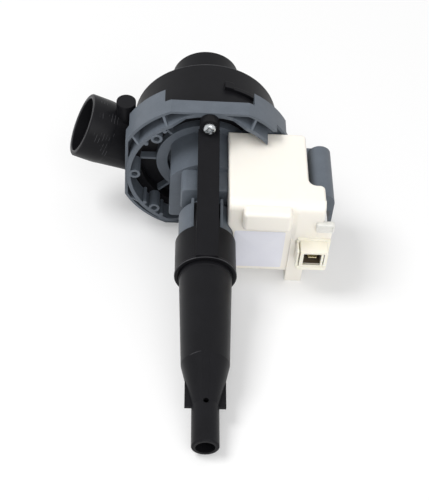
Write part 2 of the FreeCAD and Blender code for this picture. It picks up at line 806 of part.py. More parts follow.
def rotor_can():
    """Sealed rotor chamber: rear flange, barrel, lip, groove and the socket for the tail."""
    body = body_of("rotor_can")
    lip = s.can_radius + s.lip_height
    groove_bore = s.groove_radius - s.socket_wall
    turned(body, "Revolution",
           (can_bore, -can_rear), (s.can_flange, -can_rear), (s.can_flange, -gasket_rear),
           (s.can_radius, -gasket_rear), (s.can_radius, neck_front - s.lip_length),
           (lip, neck_front - s.lip_length), (lip, neck_front), (s.groove_radius, neck_front),
           (s.groove_radius, socket_rear), (s.socket_radius, socket_rear),
           (s.socket_radius, socket_front), (socket_bore, socket_front),
           (socket_bore, socket_rear + s.socket_wall), (groove_bore, socket_rear + s.socket_wall),
           (groove_bore, neck_front), (0, neck_front), (0, can_end), (s.cup_radius, can_end),
           (s.cup_radius, front_seat), (seat_radius, front_seat), (seat_radius, can_end),
           (can_bore, can_end))
    # Two sloping guides stand beside the retainer's strap
    front = collar_rear - s.fit
    rear = front - s.guide_length
    edge = s.strap_width / 2 + s.guide_gap
    for level in (edge, -(edge + s.guide_thickness)):
        guide = outline(sketch_on(body, "YZ_Plane", level),
                        (socket_bore - 1.5, rear), (s.guide_top, rear), (s.guide_low, front),
                        (socket_bore - 1.5, front))
        pad(body, guide, s.guide_thickness)


def chamber_plate():
    """Wall between the pump chamber and the motor, with the seat of the rear bearing."""
    body = body_of("chamber_plate")
    turned(body, "Revolution",
           (s.bush_radius, -plate_rear), (spigot_bore - s.fit, -plate_rear),
           (spigot_bore - s.fit, -can_rear), (seat_radius, -can_rear),
           (seat_radius, s.cup_length - rear_seat_end), (s.cup_radius, s.cup_length - rear_seat_end),
           (s.cup_radius, -rear_seat_end), (s.bush_radius, -rear_seat_end))
    hole = circle(sketch_on(body, "XY_Plane", -can_rear), 0, plate_screw_circle, s.plate_screw_radius + 0.1)
    around(body, [pocket(body, hole, s.plate_thickness)], 3)


def plate_screws():
    """The three screws of the chamber plate."""
    screws = []
    for turn in (90.0, 210.0, 330.0):
        x, y = cosine(as_size(turn)) * plate_screw_circle, sine(as_size(turn)) * plate_screw_circle
        screws.append(disc(s.plate_screw_radius, -plate_rear, -(web_rear + s.fit), x, y))
        screws.append(disc(s.plate_screw_radius * 1.7, -(plate_rear + s.plate_screw_radius), -plate_rear, x, y))
    node(joined(*screws), "plate_screws")


def bearings():
    """Bushes in their rubber cups, in the can's end and in the chamber plate."""
    node(tube(s.cup_radius, s.bush_radius, front_seat, can_end), "front_bearing_cup")
    node(tube(s.cup_radius, s.bush_radius, -rear_seat_end, s.cup_length - rear_seat_end), "rear_bearing_cup")
    node(tube(s.bush_radius, shaft_hole, can_end - s.bush_length, can_end), "front_bush")
    node(tube(s.bush_radius, shaft_hole, -rear_seat_end, s.bush_length - rear_seat_end), "rear_bush")
    node(tube(s.can_flange, can_hole, -gasket_rear, -web_rear), "can_gasket")


def rotor():
    """Shaft with its magnet, thrust washers, drive dog and retaining clip."""
    body = body_of("rotor_shaft")
    rear, front = sleeve_rear + s.clip_thickness * 2, can_end - s.thrust_play
    small = s.shaft_radius - s.shaft_chamfer
    turned(body, "Revolution",
           (0, -rear), (small, -rear), (s.shaft_radius, s.shaft_chamfer - rear),
           (s.shaft_radius, front - s.shaft_chamfer), (small, front), (0, front))
    node(tube(s.magnet_core, s.shaft_radius, -core_rear, core_front), "magnet_hub")
    half = s.magnet_length / 2
    node(tube(s.magnet_radius, s.magnet_core, stack_middle - half, stack_middle + half), "rotor_magnet")
    node(tube(s.washer_radius, s.shaft_radius, core_front, rotor_front), "front_thrust_washer")
    node(tube(s.washer_radius, s.shaft_radius, -rotor_rear, -core_rear), "rear_thrust_washer")
    dog = joined(disc(s.dog_sleeve, -dog_rear, -dog_front),
                 wedge(s.dog_radius, -dog_rear, -dog_front, s.dog_start, s.dog_angle))
    node(less(dog, disc(s.shaft_radius, -(dog_rear + 1), 1 - dog_front)), "drive_dog")
    clip_front = sleeve_rear + s.fit
    node(tube(s.clip_radius, s.shaft_radius, -(clip_front + s.clip_thickness), -clip_front), "impeller_clip")


def crossing(x, y, radius, reach):
    """Where a circle about (x, y) crosses one about the origin, on the clockwise side."""
    away = root(x * x + y * y)
    along = (reach * reach - radius * radius + away * away) / (away * 2)
    aside = leg(reach, along)
    return (x * along + y * aside) / away, (y * along - x * aside) / away


def impeller():
    """Vaned wheel: single-arc vanes that lean back, on a disc with the drive dog's pocket."""
    body = body_of("impeller")
    pocket_radius = s.dog_radius + s.dog_play
    hub = pocket_radius + s.impeller_disc
    sleeve = s.shaft_radius + s.impeller_disc
    turned(body, "Revolution",
           (pocket_radius, -impeller_front), (s.impeller_radius, -impeller_front),
           (s.impeller_radius, -disc_rear), (hub, -disc_rear), (hub, -(dog_floor + s.impeller_disc)),
           (sleeve, -(dog_floor + s.impeller_disc)), (sleeve, -sleeve_rear), (shaft_hole, -sleeve_rear),
           (shaft_hole, -dog_floor), (pocket_radius, -dog_floor))
    # The arc that meets the inner and outer circles at the two vane angles
    inner, outer = s.vane_inner, s.impeller_radius
    reach = (outer * outer - inner * inner) / (
        (outer * cosine(s.vane_outlet_angle) - inner * cosine(s.vane_inlet_angle)) * 2)
    x = inner - reach * cosine(s.vane_inlet_angle)
    y = reach * sine(s.vane_inlet_angle)
    far, close = reach + s.vane_thickness / 2, reach - s.vane_thickness / 2
    vane = outline(sketch_on(body, "XY_Plane", -vane_rear),
                   (*crossing(x, y, far, inner), far), crossing(x, y, far, outer),
                   (*crossing(x, y, close, outer), -close), crossing(x, y, close, inner))
    around(body, [pad(body, vane, s.vane_height + 0.2)], s.vane_count)
    # Stop that the drive dog meets after its free turn
    first = s.dog_start + s.dog_angle + s.dog_gap
    last = first + s.dog_angle
    gap = s.dog_sleeve + s.dog_play
    edge = pocket_radius + s.impeller_disc / 2
    stop = outline(sketch_on(body, "XY_Plane", -(dog_floor + s.impeller_disc / 2)),
                   (cosine(first) * gap, sine(first) * gap), (cosine(first) * edge, sine(first) * edge, edge),
                   (cosine(last) * edge, sine(last) * edge), (cosine(last) * gap, sine(last) * gap, -gap))
    pad(body, stop, dog_floor + s.impeller_disc / 2 - impeller_front)


def impeller_shroud():
    """Cover ring of the vanes with the eye that runs in the inlet collar."""
    body = body_of("impeller_shroud")
    rim = s.eye_radius + s.eye_wall
    turned(body, "Revolution",
           (s.eye_radius, -vane_rear), (s.eye_radius, -(shroud_rear + s.eye_reach)),
           (rim, -(shroud_rear + s.eye_reach)), (rim, -shroud_rear),
           (s.impeller_radius, -shroud_rear), (s.impeller_radius, -vane_rear))


def stator():
    """Laminated U-shaped core with its rivets, bobbins and coils."""
    pole_radius = house_bore - s.pole_clearance
    pole_left = s.house_flat - s.house_wall - s.pole_clearance
    front = s.stack_front
    yoke_inner = s.yoke_outer - s.yoke_width
    poles = shared(disc(pole_radius, stack_rear, front),
                   block(-pole_left, -pole_radius, stack_rear, pole_radius, pole_radius, front))
    arms = block(0, -s.leg_outer, stack_rear, s.yoke_outer, s.leg_outer, front)
    rivets = [(x, leg_middle * side) for x in (s.house_radius - 6, s.yoke_outer - s.yoke_width / 2)
              for side in (1, -1)]
    core = less(joined(poles, arms),
                disc(s.can_radius + s.pole_gap, stack_rear - 1, front + 1),
                block(-s.house_radius, -s.pole_split / 2, stack_rear - 1, 0, s.pole_split / 2, front + 1),
                block(0, -s.leg_inner, stack_rear - 1, yoke_inner, s.leg_inner, front + 1),
                *[disc(s.rivet_radius, stack_rear - 1, front + 1, x, y) for x, y in rivets])
    node(core, "stator_core")
    node(joined(*[disc(s.rivet_radius, stack_rear, front, x, y) for x, y in rivets]), "core_rivets")
    bobbin_right = yoke_inner - s.bobbin_fit * 2
    bobbin_left = bobbin_right - s.bobbin_length
    wall = s.bobbin_wall

    def wrapped(side, left, right, grow):
        """A block about one leg of the core, larger than the leg by the given growth."""
        middle = leg_middle * side
        return block(left, middle - leg_half - grow, stack_rear - grow,
                     right, middle + leg_half + grow, s.stack_front + grow)

    for name, side in (("upper", 1), ("lower", -1)):
        inside, outside = s.bobbin_fit, s.bobbin_fit + wall
        edge = outside + s.winding
        spool = joined(wrapped(side, bobbin_left, bobbin_right, outside),
                       wrapped(side, bobbin_left, bobbin_left + wall, edge),
                       wrapped(side, bobbin_right - wall, bobbin_right, edge))
        node(less(spool, wrapped(side, bobbin_left - 1, bobbin_right + 1, inside)), name + "_bobbin")
        wound = trimmed("Fillet", wrapped(side, bobbin_left + wall, bobbin_right - wall, edge - s.bobbin_fit),
                        s.winding * 0.8, lambda line: line.BoundBox.XLength > 5)
        node(less(wound, wrapped(side, bobbin_left, bobbin_right, outside)), name + "_coil")


def floor_under(station):
    """Depth below the pump axis of the surface that the tip and the flange's flat rest on."""
    return s.tip_radius + (ring_flat - s.tip_radius) * (tip_end - station) / tip_end


def coil_cover():
    """Cream moulding over the coils: rolled top, shoulder, bump, foot and terminal seat."""
    body = body_of("coil_cover")
    front, right, top = s.cover_front, s.cover_right, s.cover_top
    corner, sweep, far = s.cover_corner, s.shoulder_fillet, s.shoulder_right
    main = outline(sketch_on(body, "XZ_Plane", -top),
                   (s.cover_left, -s.cover_rear), (right - corner, -s.cover_rear, corner),
                   (right, corner - s.cover_rear), (right, front), (s.cover_left, front))
    pad(body, main, top * 2)
    shoulder = outline(sketch_on(body, "XZ_Plane", -top),
                       (right - corner, s.shoulder_rear - sweep), (right, s.shoulder_rear - sweep, -sweep),
                       (right + sweep, s.shoulder_rear), (far - corner, s.shoulder_rear, corner),
                       (far, s.shoulder_rear + corner), (far, front), (right - corner, front))
    pad(body, shoulder, top - s.plug_top + s.plug_height)
    eased(body, s.cover_roll, lambda edge: level_edge(edge, front) and near(edge.BoundBox.YMin, top))
    eased(body, s.cover_edge, lambda edge: near(edge.BoundBox.YMax, top) and edge.BoundBox.YLength < 0.01)
    pad(body, rectangle(sketch_on(body, "XY_Plane", front - 1), s.bump_left, s.bump_bottom,
                        s.bump_right, s.bump_top), s.bump_height + 1)
    bump_front = front + s.bump_height
    eased(body, s.bump_height * 0.45, lambda edge: edge.BoundBox.ZMax > float(front) + 1
          and edge.BoundBox.ZMin > float(front) - 1.5 and edge.BoundBox.XMin > float(s.bump_left) - 0.1)
    foot_bottom = floor_under(s.foot_front)
    foot = rectangle(sketch_on(body, "XY_Plane", s.foot_front - s.foot_depth), s.foot_left, -foot_bottom,
                     s.foot_left + s.foot_width, 0)
    pad(body, foot, s.foot_depth)
    # Clear of the rotor can's socket and of the pole house
    bore = circle(sketch_on(body, "XY_Plane", front + 1), 0, 0, s.socket_radius + s.fit * 2)
    pocket(body, bore, cover_span + 2)
    house = circle(sketch_on(body, "XY_Plane", s.house_front + s.fit), 0, 0, s.house_radius + s.fit)
    pocket(body, house, s.house_front + s.cover_rear + s.fit + 1)
    # Room for the coils and the core, for the cut-out in the bump, and for the terminal housing
    edge = s.bobbin_fit * 2 + s.bobbin_wall + s.winding
    chamber = rectangle(sketch_on(body, "XY_Plane", s.stack_front + edge), s.house_radius,
                        -(s.leg_outer + edge), right - s.cover_wall, s.leg_outer + edge)
    pocket(body, chamber, s.stack_length + edge * 2)
    passage = rectangle(sketch_on(body, "XY_Plane", s.stack_front + s.pole_clearance), s.cover_left - 1,
                        -(s.leg_outer + s.pole_clearance), s.house_radius + 1, s.leg_outer + s.pole_clearance)
    pocket(body, passage, s.stack_length + s.pole_clearance * 2)
    middle_x = (s.bump_left + s.bump_right) / 2
    middle_y = (s.bump_bottom + s.bump_top) / 2
    room = rectangle(sketch_on(body, "XY_Plane", front + s.cutout_thickness + s.fit),
                     middle_x - s.cutout_length / 2 - s.fit, middle_y - s.cutout_height / 2 - s.fit,
                     middle_x + s.cutout_length / 2 + s.fit, middle_y + s.cutout_height / 2 + s.fit)
    pocket(body, room, s.cutout_thickness + s.fit)
    seat = rectangle(sketch_on(body, "XY_Plane", bump_front), s.plug_left - s.fit / 2,
                     s.plug_top - s.plug_height - s.fit, s.plug_left + s.plug_width + s.fit / 2,
                     s.plug_top + s.fit / 2)
    pocket(body, seat, bump_front - s.plug_rear)
    cutout = block(middle_x - s.cutout_length / 2, middle_y - s.cutout_height / 2, front,
                   middle_x + s.cutout_length / 2, middle_y + s.cutout_height / 2,
                   front + s.cutout_thickness)
    node(trimmed("Chamfer", cutout, s.cutout_thickness / 4, lambda line: line.BoundBox.XLength > 5),
         "thermal_cutout")
    label = body_of("rating_label")
    sheet_outline = rectangle(sketch_on(label, "XY_Plane", front), s.label_left, s.label_top - s.label_height,
                              s.label_left + s.label_width, s.label_top)
    pad(label, sheet_outline, s.label_thickness)


def terminals():
    """Socket for the supply plug, its two blades, and the cap behind it."""
    right, bottom = s.plug_left + s.plug_width, s.plug_top - s.plug_height
    front = s.plug_rear + s.plug_length
    side = s.plug_wall * 1.4
    shell = trimmed("Fillet", block(s.plug_left, bottom, s.plug_rear, right, s.plug_top, front),
                    s.plug_wall * 0.6, lambda line: line.BoundBox.ZLength > 5)
    mouth_top = s.plug_top - s.plug_wall
    mouth = block(s.plug_left + side, mouth_top - s.plug_mouth, front - s.plug_depth,
                  right - side, mouth_top, front + 1)
    node(less(shell, mouth), "terminal_housing")
    middle = s.plug_left + s.plug_width / 2
    blades = [block(middle - s.blade_width / 2, mouth_top - drop - s.blade_thickness, front - s.plug_depth,
                    middle + s.blade_width / 2, mouth_top - drop, front - s.plug_depth + s.blade_length)
              for drop in (s.blade_pitch / 2, s.blade_pitch * 1.5)]
    node(joined(*blades), "terminal_blades")
    cap = block(s.cap_left, s.cap_bottom, s.cover_front + s.fit,
                s.cap_left + s.cap_width, s.cap_bottom + s.cap_height, s.cover_front + s.cap_length)
    node(trimmed("Fillet", cap, s.plug_wall, lambda line: line.BoundBox.ZLength > 3), "terminal_cap")


def tail_retainer():
    """Collar round the tail's flange, with the strap that runs back to its screw boss."""
    body = body_of("tail_retainer")
    bore = s.socket_radius + s.tail_fit
    lip_bore = s.shoulder_radius + s.tail_fit
    turned(body, "Revolution",
           (bore, collar_rear), (s.collar_radius, collar_rear), (s.collar_radius, collar_front),
           (lip_bore, collar_front), (lip_bore, collar_front - s.collar_lip),
           (bore, collar_front - s.collar_lip))
    slope = (s.strap_high - s.strap_low) / (collar_front - s.screw_boss_front)
    end = s.screw_boss_front / 2
    under = s.strap_low + slope * (collar_front - collar_rear) - s.strap_thickness
    tip = s.strap_low + slope * (collar_front - end)
    side = outline(sketch_on(body, "YZ_Plane", -s.strap_width / 2),
                   (bore + 0.1, collar_rear), (bore + 0.1, collar_front), (s.strap_low, collar_front),
                   (tip, end), (tip - s.strap_thickness, end), (under, collar_rear))
    pad(body, side, s.strap_width)
    boss = circle(sketch_on(body, "XY_Plane"), 0, s.screw_boss_height, s.screw_boss_radius)
    pad(body, boss, s.screw_boss_front)
    hole = circle(sketch_on(body, "XY_Plane", s.screw_boss_front), 0, s.screw_boss_height, s.screw_radius + 0.15)
    pocket(body, hole, s.screw_boss_front)


def retainer_screw():
    """Pan-head screw through the retainer's boss into the flange's post."""
    front, height = s.screw_boss_front, s.screw_boss_height
    head = trimmed("Chamfer", disc(s.screw_head_radius, front, front + s.screw_head_height, 0, height),
                   s.screw_head_height / 2, lambda line: level_edge(line, front + s.screw_head_height))
    shank = disc(s.screw_radius, front - s.screw_length, front + s.screw_head_height / 2, 0, height)
    node(joined(head, shank), "retainer_screw")


def tail_tube():
    """Long hollow tail: plug-in end, flange, tapered barrel, cone with two fins, round tip."""
    body = body_of("tail_tube")
    plug = socket_bore - s.tail_fit
    turned(body, "Revolution",
           (0, socket_front - s.plug_in_length), (plug, socket_front - s.plug_in_length),
           (plug, socket_front + 0.1), (s.socket_radius, socket_front + 0.1),
           (s.socket_radius, collar_front - s.collar_lip - 0.1),
           (s.shoulder_radius, collar_front - s.collar_lip - 0.1), (s.shoulder_radius, barrel_start),
           (s.barrel_radius, cone_start), (s.tip_radius, tip_start),
           (s.tip_radius, tip_end - s.tip_round), (s.tip_radius - s.tip_round, tip_end), (0, tip_end))
    fins = rectangle(sketch_on(body, "XZ_Plane", -s.fin_thickness / 2),
                     -s.fin_width / 2, tip_start - s.fin_length, s.fin_width / 2, tip_start)
    pad(body, fins, s.fin_thickness)
    turned(body, "Groove",
           (0, socket_front - s.plug_in_length - 1), (plug - s.tail_wall, socket_front - s.plug_in_length - 1),
           (plug - s.tail_wall, barrel_start), (s.barrel_radius - s.tail_wall, cone_start),
           (s.tip_bore, tip_start - s.tail_wall), (s.tip_bore, tip_end + 1), (0, tip_end + 1))
    hole = circle(sketch_on(body, "XZ_Plane"), 0, tip_start, s.cross_hole)
    pocket(body, hole, s.tip_radius * 2)


def rest_placement():
    """Lays the pump down on its tip and on the flange's flat, with the inlet's mouth at the origin."""
    tilt = math.degrees(math.atan2(float(ring_flat - s.tip_radius), float(tip_end)))
    turn = FreeCAD.Rotation(Vector(1, 0, 0), 90 + tilt)
    return FreeCAD.Placement(turn.multVec(Vector(0, 0, float(inlet_mouth))), turn)


for make in (volute_casing, inlet_cover, casing_seal, motor_flange, rotor_can, chamber_plate, plate_screws, bearings,
             rotor, impeller, impeller_shroud, stator, coil_cover, terminals, tail_retainer,
             retainer_screw, tail_tube):
    make()
doc.recompute()

rest = rest_placement()
for piece in pieces:
    piece.Placement = rest.multiply(piece.Placement)
doc.recompute()

failed = [item.Label for item in doc.Objects if {"Invalid", "Error"} & set(item.State)]
failed += [piece.Label for piece in pieces if piece.Shape.isNull() or not piece.Shape.isValid()]
if failed:
    raise RuntimeError("These objects failed: " + ", ".join(failed))

os.makedirs("parts", exist_ok=True)
for piece in pieces:
    piece.Shape.exportStep(f"parts/{piece.Label}.step")
    print(piece.Label, len(piece.Shape.Solids), round(piece.Shape.Volume / 1000, 2), "cm3")
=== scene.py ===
"""Dishwasher circulation pump: its finish, its small parts and its studio, round the CAD frame.

Pieces are worked out in the pump's own coordinates, in millimetres: X to the right, Y up and
Z along the pump axis towards the tail, with Z = 0 on the motor flange's front face. The pump
rests tilted, so row_points turns them into the frame's metres.
"""
import json
import math
from types import SimpleNamespace

import bpy
import numpy as np
from mathutils import Matrix, Vector


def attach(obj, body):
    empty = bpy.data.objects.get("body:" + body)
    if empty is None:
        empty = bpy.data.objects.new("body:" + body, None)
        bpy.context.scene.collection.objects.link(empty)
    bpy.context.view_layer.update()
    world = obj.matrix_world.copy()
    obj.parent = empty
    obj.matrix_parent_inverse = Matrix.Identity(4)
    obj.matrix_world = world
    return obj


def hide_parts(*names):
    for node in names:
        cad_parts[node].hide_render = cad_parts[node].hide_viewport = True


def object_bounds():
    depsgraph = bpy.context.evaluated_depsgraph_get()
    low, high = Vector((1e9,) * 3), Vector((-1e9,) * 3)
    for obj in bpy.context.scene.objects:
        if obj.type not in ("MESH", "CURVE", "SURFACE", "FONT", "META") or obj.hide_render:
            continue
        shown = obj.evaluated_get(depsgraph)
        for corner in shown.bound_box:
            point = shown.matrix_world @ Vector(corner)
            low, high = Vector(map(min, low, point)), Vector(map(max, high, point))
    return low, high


bl_info = {
    "name": "Circulation pump looks",
    "version": (1, 0, 0),
    "blender": (4, 5, 0),
    "location": "3D View > Sidebar > Pump",
    "description": "Surfaces, fasteners and studio for a dishwasher circulation pump",
    "category": "Object",
}

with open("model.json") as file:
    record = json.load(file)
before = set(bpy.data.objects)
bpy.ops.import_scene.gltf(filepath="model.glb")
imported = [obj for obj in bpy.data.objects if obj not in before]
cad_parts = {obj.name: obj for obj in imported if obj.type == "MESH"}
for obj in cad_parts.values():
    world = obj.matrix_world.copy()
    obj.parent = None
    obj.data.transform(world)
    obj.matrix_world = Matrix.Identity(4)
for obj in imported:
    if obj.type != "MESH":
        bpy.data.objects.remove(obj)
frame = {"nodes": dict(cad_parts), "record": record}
cad_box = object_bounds()

# The pump's own coordinates in the frame: the inlet's mouth and axis come from its mount
MOUNTS = {mount["name"]: mount for mount in frame["record"]["mounts"]}
INLET_TO_FLANGE = 87.4
AXIS_Z = -np.array(MOUNTS["inlet"]["axis"], float)
AXIS_X = np.array((1.0, 0.0, 0.0))
AXIS_Y = np.cross(AXIS_Z, AXIS_X)
TURN = np.stack((AXIS_X, AXIS_Y, AXIS_Z))
ORIGIN = np.array(MOUNTS["inlet"]["pos_m"], float) + AXIS_Z * INLET_TO_FLANGE / 1000

# The outlet leaves the drum to the left, climbing 24 degrees: its run in the frame
OUTLET_RUN = np.array(MOUNTS["outlet"]["axis"], float)
TIP_RADIUS = MOUNTS["tail_tip"]["dims"]["r_mm"]

# Faces that would lie in one plane are kept this far apart, in millimetres
HAIR = 0.02

# Each slot's material, once the finishes are made
FINISHES = {}


def row_points(points):
    """Pump coordinates in millimetres to the frame's metres: rotation, scale and shift."""
    return np.asarray(points, float) / 1000 @ TURN + ORIGIN


def span(name):
    """Lowest and highest end of a CAD node in pump coordinates: its corners taken back through
    the inverse of row_points."""
    mesh = frame["nodes"][name].data
    flat = np.empty(len(mesh.vertices) * 3)
    mesh.vertices.foreach_get("co", flat)
    points = (flat.reshape(-1, 3) - ORIGIN) @ TURN.T * 1000
    return points.min(0), points.max(0)


def number(name, description, default, **more):
    """A property that holds a number."""
    return bpy.props.FloatProperty(name=name, description=description, default=default, **more)


def length(name, description, default):
    """A length property, given in millimetres and held in metres."""
    return number(name, description, default / 1000, min=0.0, unit="LENGTH", precision=5)


def place(name, description, default):
    """A point property, given in millimetres and held in metres."""
    return bpy.props.FloatVectorProperty(name=name, description=description, subtype="XYZ",
                                         default=[value / 1000 for value in default],
                                         unit="LENGTH", precision=5)


def low_end(name, default):
    """A block's left, lower and rear end as a point property."""
    return place(name + " low", "Left, lower and rear end of the " + name.lower(), default)


def high_end(name, default):
    """A block's right, upper and front end as a point property."""
    return place(name + " high", "Right, upper and front end of the " + name.lower(), default)


def sizes_of(group):
    """A group's lengths and points in millimetres, by name."""
    return SimpleNamespace(**{name: np.array(getattr(group, name)) * 1000
                              for name in type(group).__annotations__})


def smooth(value):
    """0 below 0 and 1 above 1, and between them 3 t squared less 2 t cubed."""
    t = np.clip(value, 0.0, 1.0)
    return t * t * (3 - 2 * t)


def rounded(width, height, corner, steps=6):
    """Outline of a rectangle with round corners: a corner's centre plus its radius times
    (cos a, sin a), where a turns a quarter at each corner."""
    quarter = np.repeat(np.arange(4), steps + 1)
    a = (quarter + np.tile(np.linspace(0, 1, steps + 1), 4)) * math.pi / 2
    side = np.array(((1, 1), (-1, 1), (-1, -1), (1, -1)))[quarter]
    half = np.array((width, height)) / 2 - corner
    return side * half + corner * np.column_stack((np.cos(a), np.sin(a)))


def between(low, high, corner, drawn=0.0):
    """Rounded outline between two ends, drawn in on every side by some millimetres."""
    low, high = np.array(low[:2]) + drawn, np.array(high[:2]) - drawn
    return rounded(*(high - low), corner) + (low + high) / 2


def lifted(*outlines):
    """Rings of flat outlines, each lifted to its own height along Z."""
    return np.stack([np.column_stack((flat, np.full(len(flat), z))) for flat, z in outlines])


def roll(radius, count=5):
    """A rolled edge of a quarter circle: at angle a it is drawn in by radius · (1 - cos a) and
    lies radius · (1 - sin a) under its top."""
    a = np.linspace(0, math.pi / 2, count)
    return radius * (1 - np.cos(a)), radius * (np.sin(a) - 1)


def block(low, high, corner, edge):
    """Rings of a block between two ends, its upright edges round and its front edge rolled over."""
    drawn, lift = roll(edge)
    inset, z = np.append(0.0, drawn), np.append(low[2], high[2] + lift)
    least = 0.05
    return lifted(*((between(low, high, max(corner - depth, least), depth), level)
                    for depth, level in zip(inset, z)))


def revolved(loop, base, axis, steps=144):
    """A closed loop of (radius, height) turned about an axis: base + height · axis + radius ·
    (cos t · aside + sin t · across)."""
    axis = np.array(axis) / np.linalg.norm(axis)
    aside = np.cross(axis, np.roll(axis, 1) + (0.3, 0.0, 0.0))
    aside /= np.linalg.norm(aside)
    across = np.cross(axis, aside)
    t = np.arange(steps)[:, None] * 2 * math.pi / steps
    radius, height = np.asarray(loop, float).T[:, :, None, None]
    return np.array(base) + height * axis + radius * (np.cos(t) * aside + np.sin(t) * across)


def bead(inner, outer, back, front, corner):
    """A bead's loop of (radius, height): a rounded rectangle between two radii and two heights."""
    return rounded(outer - inner, front - back, corner) + ((inner + outer) / 2, (back + front) / 2)


def skin(rings, looped=False):
    """Corners and faces through rings of points, each ring joined to the next with four-sided
    faces. Looped, the last ring joins the first; otherwise each end is drawn in to its middle.
    A skin whose signed volume comes out negative has its faces turned round."""
    count, around = rings.shape[:2]
    step, turn = np.arange(count if looped else count - 1)[:, None], np.arange(around)
    here, there = step * around, (step + 1) % count * around
    onward = (turn + 1) % around
    quads = np.stack((here + turn, here + onward, there + onward, there + turn), -1).reshape(-1, 4)
    points = rings.reshape(-1, 3)
    fans = np.empty((0, 3), int)
    if not looped:
        first, last = len(points), len(points) + 1
        points = np.concatenate((points, rings[:1].mean(1), rings[-1:].mean(1)))
        top = (count - 1) * around
        fans = np.concatenate((
            np.stack((np.full(around, first), onward, turn), -1),
            np.stack((np.full(around, last), top + turn, top + onward), -1)))
    triangles = np.concatenate((quads[:, :3], quads[:, (0, 2, 3)], fans))
    a, b, c = (points[triangles[:, side]] for side in range(3))
    if (a * np.cross(b, c)).sum() < 0:
        quads, fans = quads[:, ::-1], fans[:, ::-1]
    return points, (quads, fans)


def ring(loop, base=(0, 0, 0), axis=(0, 0, 1), steps=144):
    """Skin of a closed loop turned about an axis, which is the pump's own unless one is given."""
    return skin(revolved(loop, base, axis, steps), looped=True)


def piece(name, skins, slot, *stands_for, finish=None):
    """An object of closed skins, in the frame's metres, that rides on the pump and has its slot's
    finish, or another finish of the same material. Edges of over 35 degrees stay sharp."""
    corners, faces, start = [], [], 0
    for points, groups in skins:
        corners.append(row_points(points))
        for group in groups:
            faces += (group + start).tolist()
        start += len(points)
    mesh = bpy.data.meshes.new(name)
    mesh.from_pydata(np.concatenate(corners).tolist(), [], faces)
    mesh.shade_smooth()
    mesh.set_sharp_from_angle(angle=math.radians(35.0))
    mesh.materials.append(FINISHES[finish or slot])
    made = bpy.data.objects.new(name, mesh)
    bpy.context.scene.collection.objects.link(made)
    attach(made, "pump")
    if stands_for:
        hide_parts(*stands_for)


def linear(colour):
    """An sRGB hex value, such as 2a2a2c, as linear RGBA."""
    parts = [int(colour[at:at + 2], 16) / 255 for at in (0, 2, 4)]
    return tuple(p / 12.92 if p <= 0.04045 else ((p + 0.055) / 1.055) ** 2.4 for p in parts) + (1.0,)


def tint(name, description, colour):
    """A colour property whose default is an sRGB hex value."""
    return bpy.props.FloatVectorProperty(name=name, description=description, subtype="COLOR", size=4,
                                         min=0.0, max=1.0, default=linear(colour))


def add(tree, kind, inputs=(), output=0, **settings):
    """Adds a node: its settings by name, and its inputs by socket name or number, or all in order,
    as values or links. Gives back one of its outputs, if it has any."""
    made = tree.nodes.new("ShaderNode" + kind)
    for name, value in settings.items():
        setattr(made, name, value)
    for name, value in inputs.items() if isinstance(inputs, dict) else enumerate(inputs):
        socket = made.inputs[name]
        if isinstance(value, bpy.types.NodeSocket):
            tree.links.new(value, socket)
        else:
            socket.default_value = value
    return made.outputs[output] if made.outputs else None


def material(name):
    """An empty node material, its tree, and where its patterns are read: Object coordinates."""
    made = bpy.data.materials.new(name)
    made.use_nodes = True
    made.node_tree.nodes.clear()
    return made, made.node_tree, add(made.node_tree, "TexCoord", output="Object")


def shaded(made, inputs):
    """A material closed with a Principled shader of the given inputs."""
    tree = made.node_tree
    add(tree, "OutputMaterial", {"Surface": add(tree, "BsdfPrincipled", inputs)})
    return made


def mottled(tree, where, dark, light, size, detail=2.0, rough=0.5):
    """Noise whose spots are about size millimetres across, and two tones mixed by it: on a Mix node
    the colours are inputs 6 and 7, and output 2. A pixel of the photograph is about 0.7 mm of the
    pump, so a grain that is finer in fact is drawn at that size or coarser, to show."""
    spots = add(tree, "TexNoise", {"Vector": where, "Scale": 1000 / size, "Detail": detail,
                                   "Roughness": rough})
    return spots, add(tree, "Mix", {0: spots, 6: dark, 7: light}, 2, data_type="RGBA")


def flecked(tree, where, tone, fleck, size, detail, rough, least, most):
    """Fine noise, and a tone that takes on a share of the fleck's colour. The share grows from none
    where the noise is at the least value up to the most, where it is at 0.8."""
    fine = add(tree, "TexNoise", {"Vector": where, "Scale": 1000 / size, "Detail": detail,
                                  "Roughness": rough})
    share = add(tree, "MapRange", (fine, least, 0.8, 0.0, most))
    return fine, add(tree, "Mix", {0: share, 6: tone, 7: fleck}, 2, data_type="RGBA")


def softened(tree, radius, height, strength, depth):
    """Normal with edges rounded over radius millimetres, and a bump of a given depth on it."""
    edge = add(tree, "Bevel", {"Radius": radius / 1000}, samples=6)
    return add(tree, "Bump", {"Strength": strength, "Distance": depth / 1000, "Height": height,
                              "Normal": edge})


